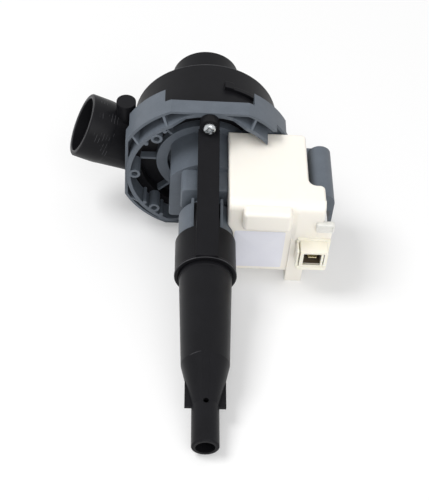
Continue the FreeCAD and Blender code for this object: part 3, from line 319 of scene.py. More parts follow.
def black_polypropylene(name, dark, light, hose_run=None):
    """Carbon-black polypropylene, injection moulded: satin, with faint flow bands and spark-eroded
    grain, which is under 0.1 mm in fact and drawn at 0.7 mm. In greyer tones on thin beads along
    edges, it is a painted highlight. A hose leaves short scuffs across its run, 2 mm apart, where a
    sine along the run peaks inside a patch of noise."""
    made, tree, where = material(name)
    flow, tone = mottled(tree, where, dark, light, 14.0, 3.0, 0.6)
    fine, colour = flecked(tree, where, tone, linear("3a3a3d"), 0.7, 3.0, 0.6, 0.62, 0.3)
    if hose_run is not None:
        pitch, drift_size, patch_size = 0.002, 6.0, 8.0
        along = add(tree, "VectorMath", (where, tuple(hose_run)), "Value", operation="DOT_PRODUCT")
        drift = add(tree, "TexNoise", {"Vector": where, "Scale": 1000 / drift_size})
        wobble = add(tree, "MapRange", (drift, 0.0, 1.0, -2.0, 2.0))
        phase = add(tree, "Math", (along, 2 * math.pi / pitch, wobble), operation="MULTIPLY_ADD")
        peak = add(tree, "Math", (phase,), operation="SINE")
        line = add(tree, "MapRange", (peak, 0.86, 0.99, 0.0, 0.5))
        patch = add(tree, "TexNoise", {"Vector": where, "Scale": 1000 / patch_size})
        inside = add(tree, "MapRange", (patch, 0.54, 0.6, 0.0, 1.0))
        scuff = add(tree, "Math", (line, inside), operation="MULTIPLY")
        colour = add(tree, "Mix", {0: scuff, 6: colour, 7: linear("636367")}, 2, data_type="RGBA")
    return shaded(made, {
        "Base Color": colour, "Roughness": add(tree, "MapRange", (flow, 0.3, 0.7, 0.32, 0.44)),
        "IOR": 1.49, "Specular IOR Level": 0.1, "Normal": softened(tree, 0.35, fine, 0.25, 0.05)})


def grey_polypropylene(dark, light):
    """Grey glass-filled polypropylene, moulded: fibres break the surface up into a dull, mottled
    sheen. They are under 0.02 mm thick in fact, and drawn as flecks of 0.9 mm."""
    made, tree, where = material("grey glass-filled polypropylene, moulded")
    _, tone = mottled(tree, where, dark, light, 9.0, 3.0, 0.6)
    fibre, colour = flecked(tree, where, tone, linear("828a93"), 0.9, 4.0, 0.7, 0.55, 0.35)
    return shaded(made, {
        "Base Color": colour, "Roughness": add(tree, "MapRange", (fibre, 0.3, 0.7, 0.4, 0.55)),
        "IOR": 1.5, "Specular IOR Level": 0.35, "Normal": softened(tree, 0.4, fibre, 0.3, 0.05)})


def cream_polyester(dark, light):
    """Cream polyester (PBT), moulded over the coils: smooth, a little translucent, softly shining."""
    made, tree, where = material("cream polyester, moulded")
    _, colour = mottled(tree, where, dark, light, 22.0)
    ripple_size = 1.4
    fine = add(tree, "TexNoise", {"Vector": where, "Scale": 1000 / ripple_size, "Detail": 3.0})
    return shaded(made, {
        "Base Color": colour, "Roughness": 0.42, "IOR": 1.5, "Subsurface Weight": 0.08,
        "Subsurface Radius": (0.004, 0.003, 0.002), "Subsurface Scale": 0.4,
        "Normal": softened(tree, 0.6, fine, 0.12, 0.04)})


def spotted(name, dark, light, size, normal, inputs, detail=2.0, rough=0.5):
    """A surface whose tone varies over spots of the given size in millimetres. Its normal is given
    as the radius its edges are rounded over, and its bump's strength and depth."""
    made, tree, where = material(name)
    spots, colour = mottled(tree, where, dark, light, size, detail, rough)
    radius, strength, depth = normal
    return shaded(made, {
        "Base Color": colour, **inputs, "Normal": softened(tree, radius, spots, strength, depth)})


def ivory_polyamide(dark, light):
    """Natural polyamide, moulded: ivory, slightly waxy."""
    return spotted("ivory polyamide, moulded", dark, light, 7.0, (0.3, 0.1, 0.05), {
        "Roughness": 0.38, "IOR": 1.53, "Subsurface Weight": 0.12,
        "Subsurface Radius": (0.004, 0.003, 0.0015), "Subsurface Scale": 0.4})


def clear_polyamide(dark, light):
    """Unfilled natural polyamide in a thin wall: milky, lets some light through."""
    return spotted("milky polyamide, thin", dark, light, 5.0, (0.4, 0.1, 0.05), {
        "Roughness": 0.3, "IOR": 1.53, "Transmission Weight": 0.15})


def label_film(dark, light):
    """Bare polyester label film: bluish white, even, with a faint satin gloss."""
    made, tree, where = material("white label film, bare")
    cloud, colour = mottled(tree, where, dark, light, 12.0)
    bump = add(tree, "Bump", {"Strength": 0.08, "Distance": 0.0001, "Height": cloud})
    return shaded(made, {"Base Color": colour, "Roughness": 0.3, "IOR": 1.5, "Normal": bump})


def metal(name, dark, light, low, high, size):
    """A bare metal whose tone and roughness vary over spots of the given size in millimetres."""
    made, tree, where = material(name)
    spots, colour = mottled(tree, where, linear(dark), linear(light), size, 3.0, 0.6)
    return shaded(made, {
        "Base Color": colour, "Metallic": 1.0,
        "Roughness": add(tree, "MapRange", (spots, 0.3, 0.7, low, high)),
        "Normal": softened(tree, 0.15, spots, 0.1, 0.03)})


def plain(name, dark, light, roughness, size):
    """A mineral, rubber or lacquered surface with spots of the given size in millimetres."""
    return spotted(name, linear(dark), linear(light), size, (0.2, 0.15, 0.04), {"Roughness": roughness},
                   3.0, 0.6)


class PumpColours(bpy.types.PropertyGroup):
    """The darker and the lighter tone of each moulding, of the label and of the painted edge highlights."""
    black_dark: tint("Black, dark", "Darker tone of the black mouldings", "131315")
    black_light: tint("Black, light", "Lighter tone of the black mouldings", "1c1c1f")
    # Greyer tones for thin beads along edges, as painted highlights
    worn_dark: tint("Edge highlight, dark", "Darker tone of worn black edges", "353537")
    worn_light: tint("Edge highlight, light", "Lighter tone of worn black edges", "535356")
    grey_dark: tint("Grey, dark", "Darker tone of the grey mouldings", "535a62")
    grey_light: tint("Grey, light", "Lighter tone of the grey mouldings", "636a73")
    cream_dark: tint("Cream, dark", "Darker tone of the coil cover", "f3eee5")
    cream_light: tint("Cream, light", "Lighter tone of the coil cover", "f7f3ea")
    ivory_dark: tint("Ivory, dark", "Darker tone of the supply socket", "f3eedd")
    ivory_light: tint("Ivory, light", "Lighter tone of the supply socket", "f9f5e8")
    milky_dark: tint("Milky, dark", "Darker tone of the cap", "ecebe5")
    milky_light: tint("Milky, light", "Lighter tone of the cap", "f7f6f1")
    label_dark: tint("Label, dark", "Darker tone of the label", "e0e1ec")
    label_light: tint("Label, light", "Lighter tone of the label", "e9eaf1")


def finishes(colours):
    """One material for each of the record's slots, and two more: one for painted edge highlights and one for
    hose scuffs.
    """
    def tones(name):
        return getattr(colours, name + "_dark")[:], getattr(colours, name + "_light")[:]

    return {
        "black_plastic": black_polypropylene("black polypropylene, moulded", *tones("black")),
        # Greyer black on thin edge beads: a painted highlight
        "painted_highlight_black": black_polypropylene("black polypropylene, worn edge", *tones("worn")),
        "scuffed_black": black_polypropylene("black polypropylene, hose scuffs", *tones("black"), OUTLET_RUN),
        "grey_plastic": grey_polypropylene(*tones("grey")),
        "cream_plastic": cream_polyester(*tones("cream")),
        "ivory_plastic": ivory_polyamide(*tones("ivory")),
        "clear_plastic": clear_polyamide(*tones("milky")),
        "white_label": label_film(*tones("label")),
        # Tinned brass: pale yellow, softly shining, a little patchy from the stamping
        "brass": metal("brass strip, stamped and tinned", "b8ab88", "d8cfae", 0.22, 0.34, 1.5),
        # Zinc plate: bright and cool, with faint clouds
        "zinc_steel": metal("steel, zinc plated", "a4a8ab", "cdd0d2", 0.2, 0.34, 0.9),
        # Ground stainless steel: darker than zinc, with a finer play of gloss
        "stainless": metal("stainless steel, ground", "8f9294", "b4b6b8", 0.22, 0.36, 0.7),
        # Fluoro rubber: brown and dull
        "rubber": plain("fluoro rubber, moulded", "453c2f", "5c5140", 0.6, 1.2),
        # Sintered alumina: off-white, close-grained, with some shine
        "ceramic": plain("alumina, sintered", "dcdad4", "efeeea", 0.35, 1.0),
        # Ground ferrite: nearly black, with a weak sheen
        "ferrite": plain("ferrite, ground", "2a2b2e", "3a3b3f", 0.5, 1.1),
        # Silicon steel: grey under a thin coat of varnish
        "core_steel": plain("silicon steel sheets, stacked", "4b4e53", "62666b", 0.45, 1.3),
        # Enamelled wire: copper that shines through a clear brown coat
        "winding": metal("enamelled copper wire", "8c3f1c", "c46a35", 0.25, 0.4, 0.8),
        # Talc-filled polypropylene: light grey and matt
        "impeller_plastic": plain("talc-filled polypropylene, moulded", "85888a", "989b9c", 0.5, 1.6),
    }


class PumpStage(bpy.types.PropertyGroup):
    """Sizes of the studio round the pump."""
    lens: number("Lens", "Focal length on a 36 mm sensor", 86.4, min=10.0, unit="CAMERA")
    azimuth: number("Azimuth", "The camera's turn round the pump", math.radians(-3.747), subtype="ANGLE")
    elevation: number("Elevation", "The camera's height angle", math.radians(38.095), subtype="ANGLE")
    roll: number("Roll", "The camera's turn about its own view", math.radians(4.434), subtype="ANGLE")
    distance: length("Distance", "From the camera to its target", 698)
    target: place("Target", "The point the camera looks at, in the frame", (4.69, -158.788, -23.23))
    world_light: number("World light", "Even light from all round", 0.5, min=0.0)
    key_place: place("Key lamp", "From the target to the key lamp", (-1200, -100, 2000))
    key_size: length("Key size", "Side of the key lamp", 1000)
    key_power: number("Key power", "Power of the key lamp", 29.5, min=0.0, unit="POWER")
    fill_place: place("Fill lamp", "From the target to the fill lamp", (400, -2000, 1300))
    fill_size: length("Fill size", "Side of the fill lamp", 1800)
    fill_power: number("Fill power", "Power of the fill lamp", 24.0, min=0.0, unit="POWER")


def camera_ray(tree):
    """1 for rays that see the backdrop directly, in a reflection or through a clear wall."""
    seen = 0.0
    for ray in ("Is Camera Ray", "Is Glossy Ray", "Is Transmission Ray"):
        seen = add(tree, "Math", (seen, add(tree, "LightPath", output=ray)), operation="MAXIMUM")
    return seen


def area_light(name, start, aim, size, watts):
    """A square soft light that points from one place at another, in metres."""
    data = bpy.data.lights.new(name, "AREA")
    data.size = size
    data.energy = watts
    light = bpy.data.objects.new(name, data)
    light.location = start
    light.rotation_euler = (aim - start).to_track_quat("-Z", "Y").to_euler()
    bpy.context.scene.collection.objects.link(light)
    return light


class PUMP_OT_stage(bpy.types.Operator):
    """Floor, soft lights, white surroundings and the camera"""
    bl_idname = "pump.stage"
    bl_label = "Studio"

    def execute(self, context):
        scene = context.scene
        sizes = scene.pump_stage
        scene.view_settings.view_transform = "Standard"
        self.camera(scene, sizes)
        self.floor(scene)
        self.world(scene, sizes)
        middle = Vector(sizes.target)
        # The key lamp stays out of reflections, so the black mouldings keep their depth
        key = area_light("key", middle + Vector(sizes.key_place), middle, sizes.key_size, sizes.key_power)
        key.visible_glossy = False
        area_light("fill", middle + Vector(sizes.fill_place), middle, sizes.fill_size, sizes.fill_power)
        return {"FINISHED"}

    def camera(self, scene, sizes):
        """The photograph's view: azimuth 0 looks along +Y."""
        data = bpy.data.cameras.new("camera")
        data.lens = sizes.lens
        data.clip_start = 0.01
        camera = bpy.data.objects.new("camera", data)
        turn = Matrix.Rotation(sizes.azimuth, 4, "Z")
        turn = turn @ Matrix.Rotation(math.pi / 2 - sizes.elevation, 4, "X")
        turn = turn @ Matrix.Rotation(sizes.roll, 4, "Z")
        back = turn @ Vector((0, 0, sizes.distance))
        camera.matrix_world = Matrix.Translation(Vector(sizes.target) + back) @ turn
        scene.collection.objects.link(camera)
        scene.camera = camera

    def floor(self, scene):
        """A wide plane at the pump's lowest point: white to the camera, but it keeps the shadow."""
        low = cad_box[0][2]
        reach = 3.0
        mesh = bpy.data.meshes.new("floor")
        mesh.from_pydata([(-reach, -reach, low), (reach, -reach, low), (reach, reach, low),
                          (-reach, reach, low)], [], [(0, 1, 2, 3)])
        floor = bpy.data.objects.new("floor", mesh)
        scene.collection.objects.link(floor)
        made, tree, where = material("paper floor")
        paper = add(tree, "BsdfDiffuse", {"Color": linear("fafafa")})
        glow = add(tree, "Emission", {"Color": (1, 1, 1, 1), "Strength": 1.0})
        # Within near metres of the pump the camera sees mostly paper, with its shadow, and from far
        # on only white
        near, far, least_glow = 0.2, 0.75, 0.26
        middle = tuple(scene.pump_stage.target)
        away = add(tree, "VectorMath", (where, middle), "Value", operation="DISTANCE")
        share = add(tree, "MapRange", (away, near, far, least_glow, 1.0))
        white = add(tree, "MixShader", (share, paper, glow))
        seen = add(tree, "MixShader", (camera_ray(tree), paper, white))
        add(tree, "OutputMaterial", {"Surface": seen})
        mesh.materials.append(made)

    def world(self, scene, sizes):
        """Even light, which the camera sees as white."""
        world = bpy.data.worlds.new("studio")
        world.use_nodes = True
        tree = world.node_tree
        tree.nodes.clear()
        even = add(tree, "Background", {"Color": (1, 1, 1, 1), "Strength": sizes.world_light})
        white = add(tree, "Background", {"Color": (1, 1, 1, 1), "Strength": 1.0})
        seen = add(tree, "MixShader", (camera_ray(tree), even, white))
        add(tree, "OutputWorld", {"Surface": seen})
        scene.world = world


class PUMP_OT_finishes(bpy.types.Operator):
    """Gives every CAD node the finish of its slot"""
    bl_idname = "pump.finishes"
    bl_label = "Finishes"

    def execute(self, context):
        FINISHES.update(finishes(context.scene.pump_colours))
        for part in frame["record"]["subparts"]:
            mesh = frame["nodes"][part["node"]].data
            mesh.materials.clear()
            mesh.materials.append(FINISHES[part["material_slot"]])
        return {"FINISHED"}


class PumpHouse(bpy.types.PropertyGroup):
    """Sizes of the black sheet of painted shade behind the motor flange's face and of what stands on the
    flange.
    """
    shade_lining_inner: length("Skirt inside", "Radius where the skirt's floor meets the hub", 31.05)
    shade_lining_wall: length("Skirt wall", "Inner radius of the skirt's wall", 41.25)
    shade_lining_outer: length("Skirt outside", "Outer radius of the skirt's ledge", 46.7)
    shade_lining_floor: length("Skirt floor", "How far the skirt's floor lies behind the flange's face", 14.45)
    shade_lining_ledge: length("Skirt ledge", "How far the skirt's ledge lies behind the flange's face", 7.85)
    shade_lining_sheet: length("Skirt sheet", "Thickness of the skirt", 0.45)
    saddle_half: length("Saddle half width", "From the axis to the saddle's outer wall", 15.5)
    saddle_channel: length("Channel half width", "Half of the gap in the saddle under the strap", 4.3)
    saddle_base: length("Saddle base", "Height of the saddle's underside above the axis", 3.0)
    saddle_top: length("Saddle top", "Height of the saddle's top above the axis", 21.2)
    saddle_front: length("Saddle front", "Where the saddle ends, ahead of the flange's face", 35.3)
    saddle_corner: length("Saddle corner", "Radius of the left half's corners", 3.4)
    channel_corner: length("Channel corner", "Radius of the right half's corners", 1.2)
    saddle_roll: length("Saddle roll", "Radius of the saddle's front edges", 1.1)
    cover_face: length("Coil cover's side", "Left wall of the coil cover, which the saddle meets", 12.4)
    house_front: length("Pole house front", "Front face of the pole house", 19.0)
    corner_low: low_end("House corner", (-22.0, -21.0, -9.2))
    corner_high: high_end("House corner", (-13.0, -12.0, 19.05))
    corner_radius: length("House corner radius", "Radius of the house's upright corner", 2.2)
    corner_roll: length("House corner roll", "Radius of the corner's front edge", 0.5)
    boss_circle: length("Boss circle", "Radius of the circle of the three screw bosses", 44.2)
    boss_radius: length("Boss radius", "Outer radius of a boss's lip", 3.6)
    boss_hole: length("Boss hole", "Radius of a boss's hole", 1.85)
    rim_height: length("Rim height", "Height of the bosses and the inner rim", 4.4)


class PUMP_OT_saddle(bpy.types.Operator):
    """Saddle over the rotor's neck, on both sides of the strap, and the pole house's lower corner"""
    bl_idname = "pump.saddle"
    bl_label = "Saddle"

    def execute(self, context):
        s = sizes_of(context.scene.pump_house)
        # Both halves start inside the pole house
        sunk = 0.5
        low, high = (s.saddle_base, s.house_front - sunk), (s.saddle_top, s.saddle_front)
        left = block((-s.saddle_half, *low), (-s.saddle_channel, *high), s.saddle_corner, s.saddle_roll)
        right = block((s.saddle_channel, *low), (s.cover_face, *high), s.channel_corner, s.saddle_roll)
        piece("neck_saddle", [skin(left), skin(right)], "grey_plastic")
        corner = block(s.corner_low, s.corner_high, s.corner_radius, s.corner_roll)
        piece("pole_house_corner", [skin(corner)], "grey_plastic")
        return {"FINISHED"}


class PUMP_OT_boss_lips(bpy.types.Operator):
    """Rolled lips round the holes of the flange's three screw bosses"""
    bl_idname = "pump.boss_lips"
    bl_label = "Boss lips"

    def execute(self, context):
        s = sizes_of(context.scene.pump_house)
        sunk, proud, soft = 0.5, 0.35, 0.3
        loop = bead(s.boss_hole, s.boss_radius, s.rim_height - sunk, s.rim_height + proud, soft)
        lips = []
        for turn in (135.0, 180.0, 225.0):
            a = math.radians(turn)
            middle = (math.cos(a) * s.boss_circle, math.sin(a) * s.boss_circle, 0.0)
            lips.append(ring(loop, middle, steps=40))
        piece("boss_lips", lips, "grey_plastic")
        return {"FINISHED"}


class PUMP_OT_shade_lining(bpy.types.Operator):
    """Thin black sheet of painted shade laid over the flange's cavity, seen between the flange's spokes and
    under its bosses
    """
    bl_idname = "pump.skirt"
    bl_label = "Skirt"

    def execute(self, context):
        s = sizes_of(context.scene.pump_house)
        # A stepped loop: the floor between the hub and the cavity's wall, the wall, and the ledge
        floor, ledge, wall, sheet = -s.shade_lining_floor, -s.shade_lining_ledge, s.shade_lining_wall, s.shade_lining_sheet
        loop = ((s.shade_lining_inner, floor), (wall, floor), (wall, ledge), (s.shade_lining_outer, ledge),
                (s.shade_lining_outer, ledge - sheet), (wall + sheet, ledge - sheet),
                (wall + sheet, floor - sheet), (s.shade_lining_inner, floor - sheet))
        # The black sheet paints the shade deep in the flange's cavity, whose walls are grey
        piece("casing_skirt", [ring(loop)], "black_plastic")
        return {"FINISHED"}


class PumpCover(bpy.types.PropertyGroup):
    """Sizes of the coil cover's column and of the label."""
    column_left: length("Column left", "Left side of the raised column beside the bump", 50.9)
    column_right: length("Column right", "Right side of the raised column", 69.45)
    column_low: length("Column low", "How far the column's lower end lies below the axis", 3.0)
    column_rise: length("Column rise", "How far the column stands out of the cover's face", 1.02)
    left_soft: length("Left softness", "Width over which the column's left side runs out", 3.2)
    right_soft: length("Right softness", "Width over which the column's right side runs out", 1.0)
    cover_roll: length("Cover roll", "Radius between the cover's top and its face", 6.0)
    label_corner: length("Label corner", "Radius of the label's corners", 1.2)
    label_edge: length("Label edge", "Radius of the label's front edge", 0.08)


class PUMP_OT_column(bpy.types.Operator):
    """Raised column on the coil cover's face, from its foot up beside the bump"""
    bl_idname = "pump.column"
    bl_label = "Column"

    def execute(self, context):
        s = sizes_of(context.scene.pump_cover)
        # The cover's top, and its face, on which the label lies
        top, face = span("coil_cover")[1][1], span("rating_label")[0][2]
        # Along the cover: up its face, then round the roll by angle a. Across: the rise grows over
        # the soft width at each side, and it fades out again from 15 to 75 degrees of the roll
        straight, bent, wide = 9, 14, 41
        a = np.radians(np.append(np.zeros(straight), np.linspace(6, 84, bent)))[:, None]
        face_end = top - s.cover_roll
        start = np.append(np.linspace(-s.column_low, face_end, straight), np.full(bent, face_end))
        x = np.linspace(s.column_left, s.column_right, wide)
        side = smooth((x - s.column_left) / s.left_soft) * smooth((s.column_right - x) / s.right_soft)
        rise = s.column_rise * side * (1 - smooth((np.degrees(a) - 15) / 60)) - HAIR
        sunk = 0.6
        root = np.full((len(a), 1), -sunk)
        out = s.cover_roll + np.hstack((rise, root, root))
        x = np.append(x, (s.column_right, s.column_left)) + 0 * a
        y, z = start[:, None] + out * np.sin(a), face - s.cover_roll + out * np.cos(a)
        piece("cover_column", [skin(np.stack((x, y, z), -1))], "cream_plastic")
        return {"FINISHED"}


class PUMP_OT_label(bpy.types.Operator):
    """Bare white label with round corners on the coil cover's face"""
    bl_idname = "pump.label"
    bl_label = "Label"

    def execute(self, context):
        s = sizes_of(context.scene.pump_cover)
        low, high = span("rating_label")
        label = block(low - (0, 0, HAIR), high, s.label_corner, s.label_edge)
        piece("bare_label", [skin(label)], "white_label", "rating_label")
        return {"FINISHED"}


class PumpTerminals(bpy.types.PropertyGroup):
    """Sizes of the supply socket's blades, collar, frame and the brown cup that lines its mouth, and of the
    cap above it.
    """
    blade_thickness: length("Blade thickness", "Thickness of a blade", 0.8)
    blade_pitch: length("Blade pitch", "From one blade to the other", 5.0)
    blade_corner: length("Blade corner", "Radius of a blade's corners", 0.9)
    blade_hole: length("Blade hole", "Radius of the locking hole", 0.9)
    hole_depth: length("Hole depth", "From a blade's tip to the middle of its hole", 2.6)
    collar_low: low_end("Collar", (54.9, -15.7, 52.9))
    collar_high: high_end("Collar", (75.3, 3.0, 55.3))
    flange_low: low_end("Side flange", (54.9, -14.8, 54.5))
    flange_high: high_end("Side flange", (56.2, 0.6, 63.4))
    rib_low: low_end("Rib", (69.5, -10.3, 53.5))
    rib_high: high_end("Rib", (71.0, 0.0, 64.2))
    lip_low: low_end("Lip", (55.6, -14.8, 63.4))
    lip_high: high_end("Lip", (73.0, -12.0, 64.4))
    frame_low: low_end("Mouth frame", (56.8, -11.145, 63.4))
    frame_high: high_end("Mouth frame", (73.5, 1.405, 64.4))
    mouth_low: low_end("Mouth", (58.9, -10.1, 63.4))
    mouth_high: high_end("Mouth", (71.4, -0.1, 64.4))
    mouth_lining_low: low_end("Seal", (59.0, -10.0, 53.0))
    mouth_lining_high: high_end("Seal", (69.4, -0.2, 62.9))
    mouth_lining_wall: length("Seal wall", "Thickness of the mouth_lining's wall", 0.35)
    mouth_lining_floor: length("Seal floor", "Thickness of the mouth_lining's floor", 0.5)
    cap_height: length("Cap height", "Height of the milky cap", 7.2)
    cap_corner: length("Cap corner", "Radius of the cap's corners", 1.7)
    cap_roll: length("Cap roll", "Radius of the cap's front edge", 0.8)
    dish_depth: length("Dish depth", "Depth of the dish in the cap's front", 0.6)
    seat_low: low_end("Cap seat", (66.3, 2.0, 50.5))
    seat_high: high_end("Cap seat", (75.4, 11.0, 54.15))


class PUMP_OT_blades(bpy.types.Operator):
    """The supply socket's two blades, with bevelled tips and locking holes"""
    bl_idname = "pump.blades"
    bl_label = "Blades"

    def execute(self, context):
        s = sizes_of(context.scene.pump_terminals)
        low, high = span("terminal_blades")
        width, _, reach = high - low
        outline = rounded(width, reach, s.blade_corner, 8)
        hole_at = np.array((0.0, reach / 2 - s.hole_depth))
        aside = outline - hole_at
        hole = hole_at + aside / np.linalg.norm(aside, axis=1)[:, None] * s.blade_hole
        # Round the blade's wall: the hole's edge, a bevel short of the outline, its middle, and back
        flat_share = 0.94
        half, bevelled = s.blade_thickness / 2, outline * flat_share
        rings = np.stack([
            np.column_stack((flat[:, 0], np.full(len(flat), rise), flat[:, 1])) for flat, rise in (
                (hole, half), (bevelled, half), (outline, 0.0), (bevelled, -half), (hole, -half))])
        blades = []
        for drop in (0.0, s.blade_pitch):
            middle = ((low[0] + high[0]) / 2, high[1] - drop - half, (low[2] + high[2]) / 2)
            blades.append(skin(rings + middle, looped=True))
        piece("supply_blades", blades, "brass", "terminal_blades")
        return {"FINISHED"}


class PUMP_OT_socket_collar(bpy.types.Operator):
    """Collar round the supply socket's root, its side flange, the frame of its mouth and the lip below"""
    bl_idname = "pump.socket_collar"
    bl_label = "Socket collar"

    def execute(self, context):
        s = sizes_of(context.scene.pump_terminals)
        # Blocks, each with the radius of its upright corners and of its front edge
        blocks = [skin(block(low, high, corner, edge)) for low, high, corner, edge in (
            (s.collar_low, s.collar_high, 1.2, 0.4), (s.flange_low, s.flange_high, 0.4, 0.3),
            (s.rib_low, s.rib_high, 0.3, 0.3), (s.lip_low, s.lip_high, 0.5, 0.25))]
        # Frame: an outer and an inner rounded rectangle, joined behind and in front, and a bevel
        outer, mouth = between(s.frame_low, s.frame_high, 0.9), between(s.mouth_low, s.mouth_high, 0.3)
        bevel, flat_share = 0.2, 0.994
        bevelled = outer.mean(0) + (outer - outer.mean(0)) * flat_share
        rear, front = s.frame_low[2], s.frame_high[2]
        around = lifted((outer, rear), (outer, front - bevel), (bevelled, front), (mouth, front),
                        (mouth, rear))
        piece("socket_collar", blocks + [skin(around, looped=True)], "ivory_plastic")
        # Mouth lining: a thin brown cup that makes the mouth's inside dark, up its outside, over its rim and
        # down its inside to its floor
        outside = between(s.mouth_lining_low, s.mouth_lining_high, 0.6)
        inside = between(s.mouth_lining_low, s.mouth_lining_high, 0.4, s.mouth_lining_wall)
        rear, front = s.mouth_lining_low[2], s.mouth_lining_high[2]
        cup = lifted((outside, rear + HAIR), (outside, front), (inside, front), (inside, rear + s.mouth_lining_floor))
        piece("socket_seal", [skin(cup)], "rubber")
        return {"FINISHED"}


class PUMP_OT_cap(bpy.types.Operator):
    """Milky cap above the supply socket, with a dished front, and its seat on the coil cover"""
    bl_idname = "pump.cap"
    bl_label = "Cap"

    def execute(self, context):
        s = sizes_of(context.scene.pump_terminals)
        low, high = span("terminal_cap")
        high[1] = low[1] + s.cap_height
        # Out along the wall, over the rolled front edge, and down into the dish
        drawn, lift = roll(s.cap_roll)
        brink, brink_depth, floor, least = 1.3, 0.1, 1.6, 0.2
        inset = np.concatenate(((0.0,), drawn, (brink, floor)))
        z = np.concatenate(((low[2],), high[2] + lift, (high[2] - brink_depth, high[2] - s.dish_depth)))
        cap = lifted(*((between(low, high, max(s.cap_corner - depth, least), depth), level)
                       for depth, level in zip(inset, z)))
        piece("milky_cap", [skin(cap)], "clear_plastic", "terminal_cap")
        piece("cap_seat", [skin(block(s.seat_low, s.seat_high, 1.1, 0.7))], "cream_plastic")
        return {"FINISHED"}


class PumpRetainer(bpy.types.PropertyGroup):
    """Sizes of the retainer's collar, of the black block between the guides, and of its screw."""
    rim_gap: length("Rim gap", "From the tail to the rolled rim", 0.35)
    rim_proud: length("Rim proud", "How far the rim stands out of the collar", 0.3)
    rim_depth: length("Rim depth", "How far the rim reaches back along the collar", 1.6)
    rim_corner: length("Rim corner", "Radius of the rim's corners", 0.8)
    shoulder_start: length("Shoulder start", "From the collar's front to the tail's shoulder", 1.6)
    shoulder_end: length("Shoulder end", "From the collar's front to the shoulder's end", 3.4)
    shoulder_proud: length("Shoulder proud", "How far the shoulder stands out of the tail", 0.22)
    gap_block_low: low_end("Gap block", (-7.7, 10.0, 41.5))
    gap_block_high: high_end("Gap block", (7.7, 16.9, 59.8))
    head_height: length("Head height", "Height of the screw's head", 2.6)
    recess_reach: length("Recess reach", "Length of one arm of the cross recess", 2.8)
    recess_half: length("Recess half width", "Half of an arm's width at the middle", 0.95)
    recess_depth: length("Recess depth", "Depth of the cross recess at its middle", 2.0)
    shank_radius: length("Shank radius", "Outer radius of the thread", 1.85)
    thread_depth: length("Thread depth", "Depth of the thread", 0.3)
    thread_pitch: length("Thread pitch", "From one turn of the thread to the next", 1.4)


class PUMP_OT_collar_rim(bpy.types.Operator):
    """The collar's rolled rim with a painted highlight on its edge, the tail's shoulder in front of it, and a
    black block between the guides that makes the gap under the strap dark
    """
    bl_idname = "pump.collar_rim"
    bl_label = "Collar rim"

    def execute(self, context):
        s = sizes_of(context.scene.pump_retainer)
        tail = sizes_of(context.scene.pump_tail).shoulder_radius
        radius, _, front = span("tail_retainer")[1]
        rim = bead(tail + s.rim_gap, radius + s.rim_proud,
                   front - s.rim_depth, front + s.rim_proud, s.rim_corner)
        # A black block between the guides, under the strap, which makes the gap there dark
        gap_block = block(s.gap_block_low, s.gap_block_high, 1.0, 0.4)
        piece("collar_rim", [skin(gap_block), ring(rim)], "black_plastic")
        sunk, soft = 0.8, 0.45
        shoulder = bead(tail - sunk, tail + s.shoulder_proud,
                        front + s.shoulder_start, front + s.shoulder_end, soft)
        piece("tail_shoulder", [ring(shoulder)], "black_plastic")
        # Painted highlight: a thin bead on the rim's corner, a hair out of it, in greyer tones that paint the
        # light line along the collar's edge
        inward, outward, back, ahead, soft = 0.25, 0.33, 0.22, 0.34, 0.27
        edge = bead(radius - inward, radius + outward, front - back, front + ahead, soft)
        piece("collar_edge", [ring(edge)], "black_plastic", finish="painted_highlight_black")
        return {"FINISHED"}


class PUMP_OT_screw(bpy.types.Operator):
    """Pan-head screw with its cross recess and thread"""
    bl_idname = "pump.screw"
    bl_label = "Screw"

    def execute(self, context):
        s = sizes_of(context.scene.pump_retainer)
        low, high = span("retainer_screw")
        head_radius, head_rear = high[0], high[2] - s.head_height
        around = 96
        turn = np.arange(around) * 2 * math.pi / around
        # Head: radius R · sin a, height H · cos a · sqrt(1 + sin a squared), less the cross, which
        # is as deep as its arms' walls and ends let it be
        a = np.linspace(0, math.pi / 2, 46)[1:, None]
        radius = head_radius * np.sin(a)
        cross_turn, wall, end, taper, shallow = 0.3, 0.24, 0.5, 0.3, 0.45
        x, y = abs(radius * np.cos(turn - cross_turn)), abs(radius * np.sin(turn - cross_turn))
        along, across = np.maximum(x, y), np.minimum(x, y)
        share = along / s.recess_reach
        cut = smooth((s.recess_half * (1 - taper * share) - across) / wall)
        cut *= smooth((s.recess_reach - along) / end) * (1 - shallow * share)
        height = s.head_height * np.cos(a) * np.sqrt(1 + np.sin(a) ** 2) - s.recess_depth * cut
        head = np.stack((radius * np.cos(turn), radius * np.sin(turn), height + head_rear), -1)
        # Shank: its radius dips by a cosine along a helix, and it closes in to a blunt point
        depth = np.linspace(0.0, 1.0, 84)[:, None]
        reach, point, blunt = head_rear - low[2], 0.12, 0.5
        phase = 2 * math.pi * depth * reach / s.thread_pitch - turn
        radius = s.shank_radius - s.thread_depth / 2 * (1 - np.cos(phase))
        radius = radius * (1 - blunt * smooth((depth - 1 + point) / point))
        shank = np.stack((radius * np.cos(turn), radius * np.sin(turn),
                          head_rear - depth * reach + 0 * turn), -1)
        screw = np.concatenate((head, shank)) + (0, (low[1] + high[1]) / 2, 0)
        piece("cross_head_screw", [skin(screw)], "zinc_steel", "retainer_screw")
        return {"FINISHED"}


